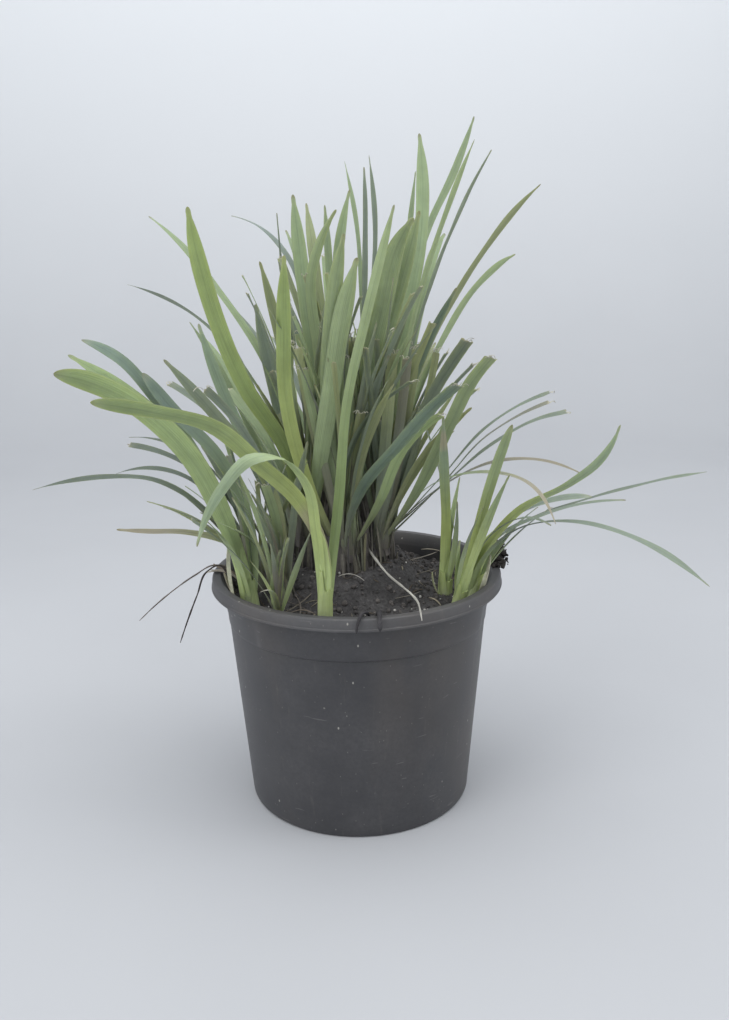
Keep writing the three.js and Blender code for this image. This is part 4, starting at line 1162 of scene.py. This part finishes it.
def make_soil():
    edge = wall_radius(SOIL["level"]) - POT["wall"] - GAP - 0.2
    foot = wall_radius(POT["floor"]) - POT["wall"] - 4.5
    bottom = POT["floor"] + GAP

    def outline(azimuth):
        rows = [(0, bottom), (foot, bottom), (foot + 2.4, bottom + 2.6)]
        for radius in np.linspace(edge, 1.5, 62):
            x, y = polar(radius, math.radians(azimuth))
            rows.append((radius, soil_top(x, y) + 0.9 * bumpy(x, y, 5, 0) + 0.35 * bumpy(x, y, 1.7, 3)))
        return [*rows, (0, soil_top(0, 0))]

    turned_shape(outline, 220, DARK_PEAT).piece("soil_bed", PEAT, "soil", ["soil"], 180)


def ball():
    """Points and faces of an icosahedron cut once over, on a unit ball."""
    mesh = bmesh.new()
    bmesh.ops.create_icosphere(mesh, subdivisions=2, radius=1)
    points = np.array([v.co for v in mesh.verts])
    faces = [[v.index for v in f.verts] for f in mesh.faces]
    mesh.free()
    return points, faces


BALL, BALL_FACES = ball()


def add_crumb(shape, x, y, z, radius, colour, dice):
    """A grain of peat: a dented ball of eighty faces."""
    points = BALL * np.array([dice.uniform(0.7, 1.2) for _ in range(3)]) * radius
    dents = np.array([1 + 0.28 * noise.noise(Vector(p) * 1.7 + Vector((x, y, radius))) for p in BALL])
    angle = dice.uniform(0, 6.28)
    turn = np.array(Matrix.Rotation(angle, 3, Vector((dice.random(), dice.random(), dice.random() + 0.1))))
    shape.add(points * dents[:, None] @ turn.T + (x, y, z), BALL_FACES, colour)


def make_crumbs():
    dice = random.Random(SEEDS["crumbs"])
    shape = Shape()
    least, more = CRUMBS["size"]
    for _ in range(CRUMBS["count"]):
        x, y = polar(CRUMBS["reach"] * math.sqrt(dice.random()), dice.uniform(0, FULL_TURN))
        if off_mound(x, y) < 0.9:
            continue
        size = least + more * dice.random() ** 3
        colour = mixed(DARK_PEAT, BROWN_PEAT, dice.random())
        if dice.random() < CRUMBS["perlite"]:
            size, colour = dice.uniform(0.4, 0.9), PERLITE
        add_crumb(shape, x, y, soil_top(x, y) + 0.35 * size, size, colour, dice)
    shape.piece("soil_crumbs", PEAT, "soil")


def make_crumb_heap():
    """Fine black peat that clings together on the right of the rim."""
    dice = random.Random(SEEDS["heap"])
    shape = Shape()
    low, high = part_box("crumb_heap")
    top = high[2] / MM - low[2] / MM - 1
    least, more = HEAP["size"]
    for _ in range(HEAP["count"]):
        turn = math.radians(dice.gauss(HEAP["middle"], HEAP["spread"]))
        x, y = polar(dice.uniform(*HEAP["reach"]), turn)
        size = least + more * dice.random() ** 2.5
        over = top * dice.random() ** 1.3 * math.exp(-(((math.degrees(turn) - HEAP["middle"]) / 8) ** 2))
        z = max(POT["height"], soil_top(x, y)) + 0.7 * size + over
        add_crumb(shape, x, y, z, size, mixed(BLACK_PEAT, BROWN_PEAT, 0.35 * dice.random()), dice)
    shape.piece("crumb_heap_grains", PEAT, "soil", ["crumb_heap"])


def make_core():
    """The rootstock's ridged core."""
    soil = SOIL["level"]
    steps = ((0.97, -MOUND["sunk"]), (0.97, 4), (0.92, 12), (0.84, 20), (0.7, 0), (0.36, 0))

    def outline(azimuth):
        turn = math.radians(azimuth)
        ridge = 1 + 0.04 * math.sin(11 * turn) + 0.035 * math.sin(23 * turn + 1)
        rows = [(0, soil - MOUND["sunk"])]
        for share, over in steps:
            x = MOUND["half_x"] * ridge * share * math.cos(turn)
            y = MOUND["half_y"] * ridge * share * math.sin(turn)
            high = over + soil if over else mound_top(x + MOUND["x"], y + MOUND["y"]) - 1
            rows.append((math.hypot(x, y), high))
        return [*rows, (0, mound_top(MOUND["x"], MOUND["y"]) - 1)]

    core = turned_shape(outline, 90, CORE_BROWN)
    for points in core.points:
        points += (MOUND["x"], MOUND["y"], 0)
    core.piece("rootstock_core", FIBRE, "old_sheath", ["sheath_mound"], 60)


def make_fibres():
    """The torn, brown leaf bases that clad the rootstock."""
    dice = random.Random(SEEDS["fibres"])
    shape = Shape()
    middle = np.array([MOUND["x"], MOUND["y"]])
    halves = np.array([MOUND["half_x"], MOUND["half_y"]])
    for i in range(FIBRES["count"]):
        turn = math.radians(i * GOLDEN)
        share = 1.0 - 0.8 * (i / FIBRES["count"]) ** 1.3 + dice.uniform(-0.05, 0.05)
        x, y = middle + halves * share * polar(1, turn)
        rise = mound_top(x, y) - SOIL["level"] - 14
        low = SOIL["level"] + 8 + rise * float(smooth(1 - share, 0.02, 0.3))
        length = dice.uniform(*FIBRES["length"])
        inward = (middle - (x, y)) * dice.uniform(0.05, 0.4) * length / 60
        drift = np.array([dice.uniform(-3, 3), dice.uniform(-3, 3)])
        foot = np.array([x, y, low])
        bow = foot + (*(0.35 * inward + 0.3 * drift), 0.5 * length)
        tip = foot + (*(inward + drift), length)
        colour = np.multiply(FIBRE_BROWNS[i % 5], dice.uniform(0.7, 1.2))
        width = dice.uniform(*FIBRES["width"])
        add_straw(shape, Run([foot, bow, tip]), width, colour, dice, foot=DARK_PEAT)
    add_straw(shape, Run([(5.6, -28, 160), (5.7, -25, 173), (6.5, -22, 184)]), 2.6, (0.22, 0.21, 0.13), dice)
    shape.piece("rootstock_fibres", FIBRE, "old_sheath")


# Run, width and colour of each straw, dry foot and strip of the dry sheath that the photo shows.
STATED_LITTER = [
    ([(-11, -37, 161), (-5, -37, 162.5), (5, -39, 158.5)], 0.9, (0.5, 0.48, 0.43)),
    ([(32, 16, 153), (44, 33, 150), (58, 62, 145)], 0.8, (0.2, 0.18, 0.15)),
    ([(38, -1, 149), (46, 10, 147.5), (53, 20, 146)], 0.7, (0.22, 0.2, 0.16)),
    ([(46, 58, 148), (56, 60, 147), (64, 56, 145)], 1.0, (0.25, 0.23, 0.18)),
    ([(24, -40, 147), (32, -36, 147), (40, -26, 146)], 0.7, (0.2, 0.18, 0.15)),
    ([(-46, -46, 149), (-38, -50, 148), (-30, -56, 146)], 0.8, (0.15, 0.13, 0.11)),
    ([(-38, -42, 151), (-34, -54, 148), (-35, -68, 145)], 0.7, (0.16, 0.14, 0.12)),
    ([(-28, -40, 151), (-36, -52, 148), (-46, -60, 145)], 0.7, (0.17, 0.15, 0.12)),
    ([(-40, -60, 146), (-34, -58, 147), (-26, -60, 145.5)], 1.0, (0.18, 0.15, 0.12)),
]
DRY_FEET = [
    ([(-75, -43, 147), (-77.5, -44, 163), (-77.5, -44, 184)], 2.6, (0.5, 0.5, 0.37)),
    ([(-74, -41, 147), (-78.5, -42, 158), (-81, -42, 166)], 2.0, (0.42, 0.38, 0.28)),
    ([(78, -34, 146), (81, -34, 158), (83.5, -34, 172)], 5.0, (0.62, 0.6, 0.48)),
    ([(76, -37, 146), (78, -39, 154), (80, -40, 163)], 3.4, (0.5, 0.5, 0.36)),
    ([(52, -28, 145), (49, -29, 152), (48, -29, 160)], 2.4, (0.42, 0.44, 0.26)),
    ([(-44, -51, 145), (-47, -54, 152), (-52, -56, 158)], 1.6, (0.4, 0.36, 0.26)),
]
SHEATH_STRIPS = [
    ([(-75, -4, 144), (-83, -4, 153.4), (-91, -4, 155.1), (-99, -3, 153.2)], 4.6, (0.46, 0.42, 0.36)),
    ([(-76, -6, 146), (-84, -6.5, 154.2), (-91, -6, 155.8), (-96, -6, 156.6)], 2.0, (0.4, 0.35, 0.29)),
    ([(-76, -2, 147), (-84, -1.5, 154.4), (-90, -1, 156), (-94, 0, 158.4)], 1.6, (0.3, 0.25, 0.2)),
]


def make_litter():
    """Straws, bits of dead leaf and fine root ends on the soil."""
    dice = random.Random(SEEDS["litter"])
    shape = Shape()
    add_straws(shape, STATED_LITTER, dice)
    for _ in range(LITTER["count"]):
        middle = np.array(polar(LITTER["reach"] * math.sqrt(dice.random()), dice.uniform(0, FULL_TURN)))
        if off_mound(*middle) < 1.0:
            continue
        length, heading = dice.uniform(*LITTER["length"]), dice.uniform(0, FULL_TURN)
        step = np.array(polar(1, heading)) * length / 2
        ends = [middle - step, middle, middle + step]
        if max(np.hypot(*p) for p in ends) > LITTER["reach"] + 2:
            continue
        points = [(*p, soil_top(*p) + dice.uniform(0.4, 1.3)) for p in ends]
        colour = np.multiply(dice.choice(LITTER_BROWNS), dice.uniform(0.6, 1.2))
        add_straw(shape, Run(points), dice.uniform(*LITTER["width"]), colour, dice)
    shape.piece("soil_litter", FIBRE, "old_sheath")


def make_strips(name, seed, rows, thickness, nodes=()):
    """Dry strips that are all stated."""
    shape = Shape()
    add_straws(shape, rows, random.Random(seed), thickness)
    shape.piece(name, FIBRE, "old_sheath", nodes)


# ---------- roots

# Name, slot, thickness at the foot and at the end, colour and run of each.
ROOTS = [
    ("root_cream", "root_pale", 1.5, 1.2, (0.46, 0.445, 0.4),
     [(7, -9, 172), (13, -31, 168.5), (20, -44, 163.5), (28, -56, 160), (34, -69, 158.4), (37, -90, 155.8),
      (37.6, -91.6, 151.8)]),
    ("root_loop_left", "root_dark", 2.0, 1.7, (0.05, 0.047, 0.05),
     [(6.5, -78, 140), (6, -86, 155), (3.2, -91.5, 156.3), (0.9, -96.6, 152), (0.1, -97, 147)]),
    ("root_loop_right", "root_dark", 3.0, 2.6, (0.052, 0.05, 0.053),
     [(12.5, -78, 140), (13, -85, 155), (13.2, -90, 156.8), (13.4, -96, 153), (13.6, -97, 148)]),
    ("root_left_long", "root_dark", 1.2, 0.8, (0.17, 0.15, 0.13),
     [(-78, 4, 138), (-86, 3, 155), (-94, 1, 157), (-107, 2, 150), (-121, 4, 140), (-147, 6, 117)]),
    ("root_left_short", "root_dark", 1.3, 0.9, (0.07, 0.06, 0.056),
     [(-76, -10, 138), (-82, -10, 152), (-89, -10, 160.5), (-97, -11, 156.5), (-104, -11, 141),
      (-117, -12, 108)]),
]


def make_roots():
    dice = random.Random(SEEDS["roots"])
    for name, slot, thick, thin, colour, points in ROOTS:
        shape = Shape()
        phase = dice.uniform(0, 6)

        def radius_at(t):
            knots = 1 + 0.16 * math.sin(23 * t + phase) + 0.1 * math.sin(61 * t)
            return 0.5 * (thick + (thin - thick) * t) * knots * (1 - 0.5 * float(smooth(t, 0.93, 1)))

        def colour_at(t):
            return np.multiply(colour, 1 + 0.18 * math.sin(17 * t + phase))

        add_tube(shape, Run(points), radius_at, colour_at, 90, 10)
        shape.piece(name + "_skin", FIBRE, slot, [name], 60)


# ---------- studio


def make_floor():
    """A pale floor that bends up far behind into a backdrop."""
    rows = [(y, 0) for y in FLOOR["flat"]]
    edge, bend = FLOOR["flat"][-1], FLOOR["bend"]
    for i in range(1, FLOOR["steps"] + 1):
        turn = i * math.pi / 2 / FLOOR["steps"]
        rows.append((edge + bend * math.sin(turn), bend * (1 - math.cos(turn))))
    rows.append((edge + bend, FLOOR["top"]))
    points = [(x, y, z) for y, z in rows for x in (-FLOOR["half"], FLOOR["half"])]
    faces = [[2 * i, 2 * i + 1, 2 * i + 3, 2 * i + 2] for i in range(len(rows) - 1)]
    mesh = bpy.data.meshes.new("studio_floor")
    mesh.from_pydata(points, [], faces)
    mesh.polygons.foreach_set("use_smooth", [True] * len(mesh.polygons))
    mesh.materials.append(floor_surface())
    floor = bpy.data.objects.new("studio_floor", mesh)
    bpy.context.scene.collection.objects.link(floor)


def make_studio():
    make_floor()
    scene = bpy.context.scene
    world = bpy.data.worlds.new("studio_world")
    world.use_nodes = True
    background = world.node_tree.nodes["Background"]
    background.inputs["Color"].default_value = (*WORLD["colour"], 1)
    background.inputs["Strength"].default_value = WORLD["strength"]
    scene.world = world
    for name, place, aim, size, power in LIGHTS:
        data = bpy.data.lights.new(name, "AREA")
        data.shape = "RECTANGLE"
        data.size, data.size_y = size
        data.energy = power
        light = bpy.data.objects.new(name, data)
        light.location = place
        light.rotation_euler = (Vector(aim) - Vector(place)).to_track_quat("-Z", "Y").to_euler()
        scene.collection.objects.link(light)
    scene.view_settings.view_transform = "Standard"


def make_camera():
    """The photo's camera: its lens in pixels of a picture so many pixels high, pitched down and rolled."""
    data = bpy.data.cameras.new("photo_camera")
    data.sensor_fit = "VERTICAL"
    data.sensor_height = 36
    data.lens = 36 * CAMERA["lens"] / CAMERA["picture"]
    data.clip_start = 0.01
    camera = bpy.data.objects.new("photo_camera", data)
    pitch = Matrix.Rotation(math.radians(90 - CAMERA["pitch"]), 4, "X")
    roll = Matrix.Rotation(math.radians(-CAMERA["roll"]), 4, "Z")
    camera.matrix_world = Matrix.Translation(Vector(CAMERA["at"]) * MM) @ pitch @ roll
    bpy.context.scene.collection.objects.link(camera)
    bpy.context.scene.camera = camera


make_camera()
make_pot()
make_soil()
make_crumbs()
make_crumb_heap()
make_core()
make_fibres()
make_litter()
make_strips("dry_feet", SEEDS["feet"], DRY_FEET, 0.35)
for number, tuft in enumerate(grow_tufts()):
    dress_tuft(tuft, number)
make_roots()
make_strips("sheath_dry_strips", SEEDS["strips"], SHEATH_STRIPS, 0.25, ["sheath_dry"])
make_studio()
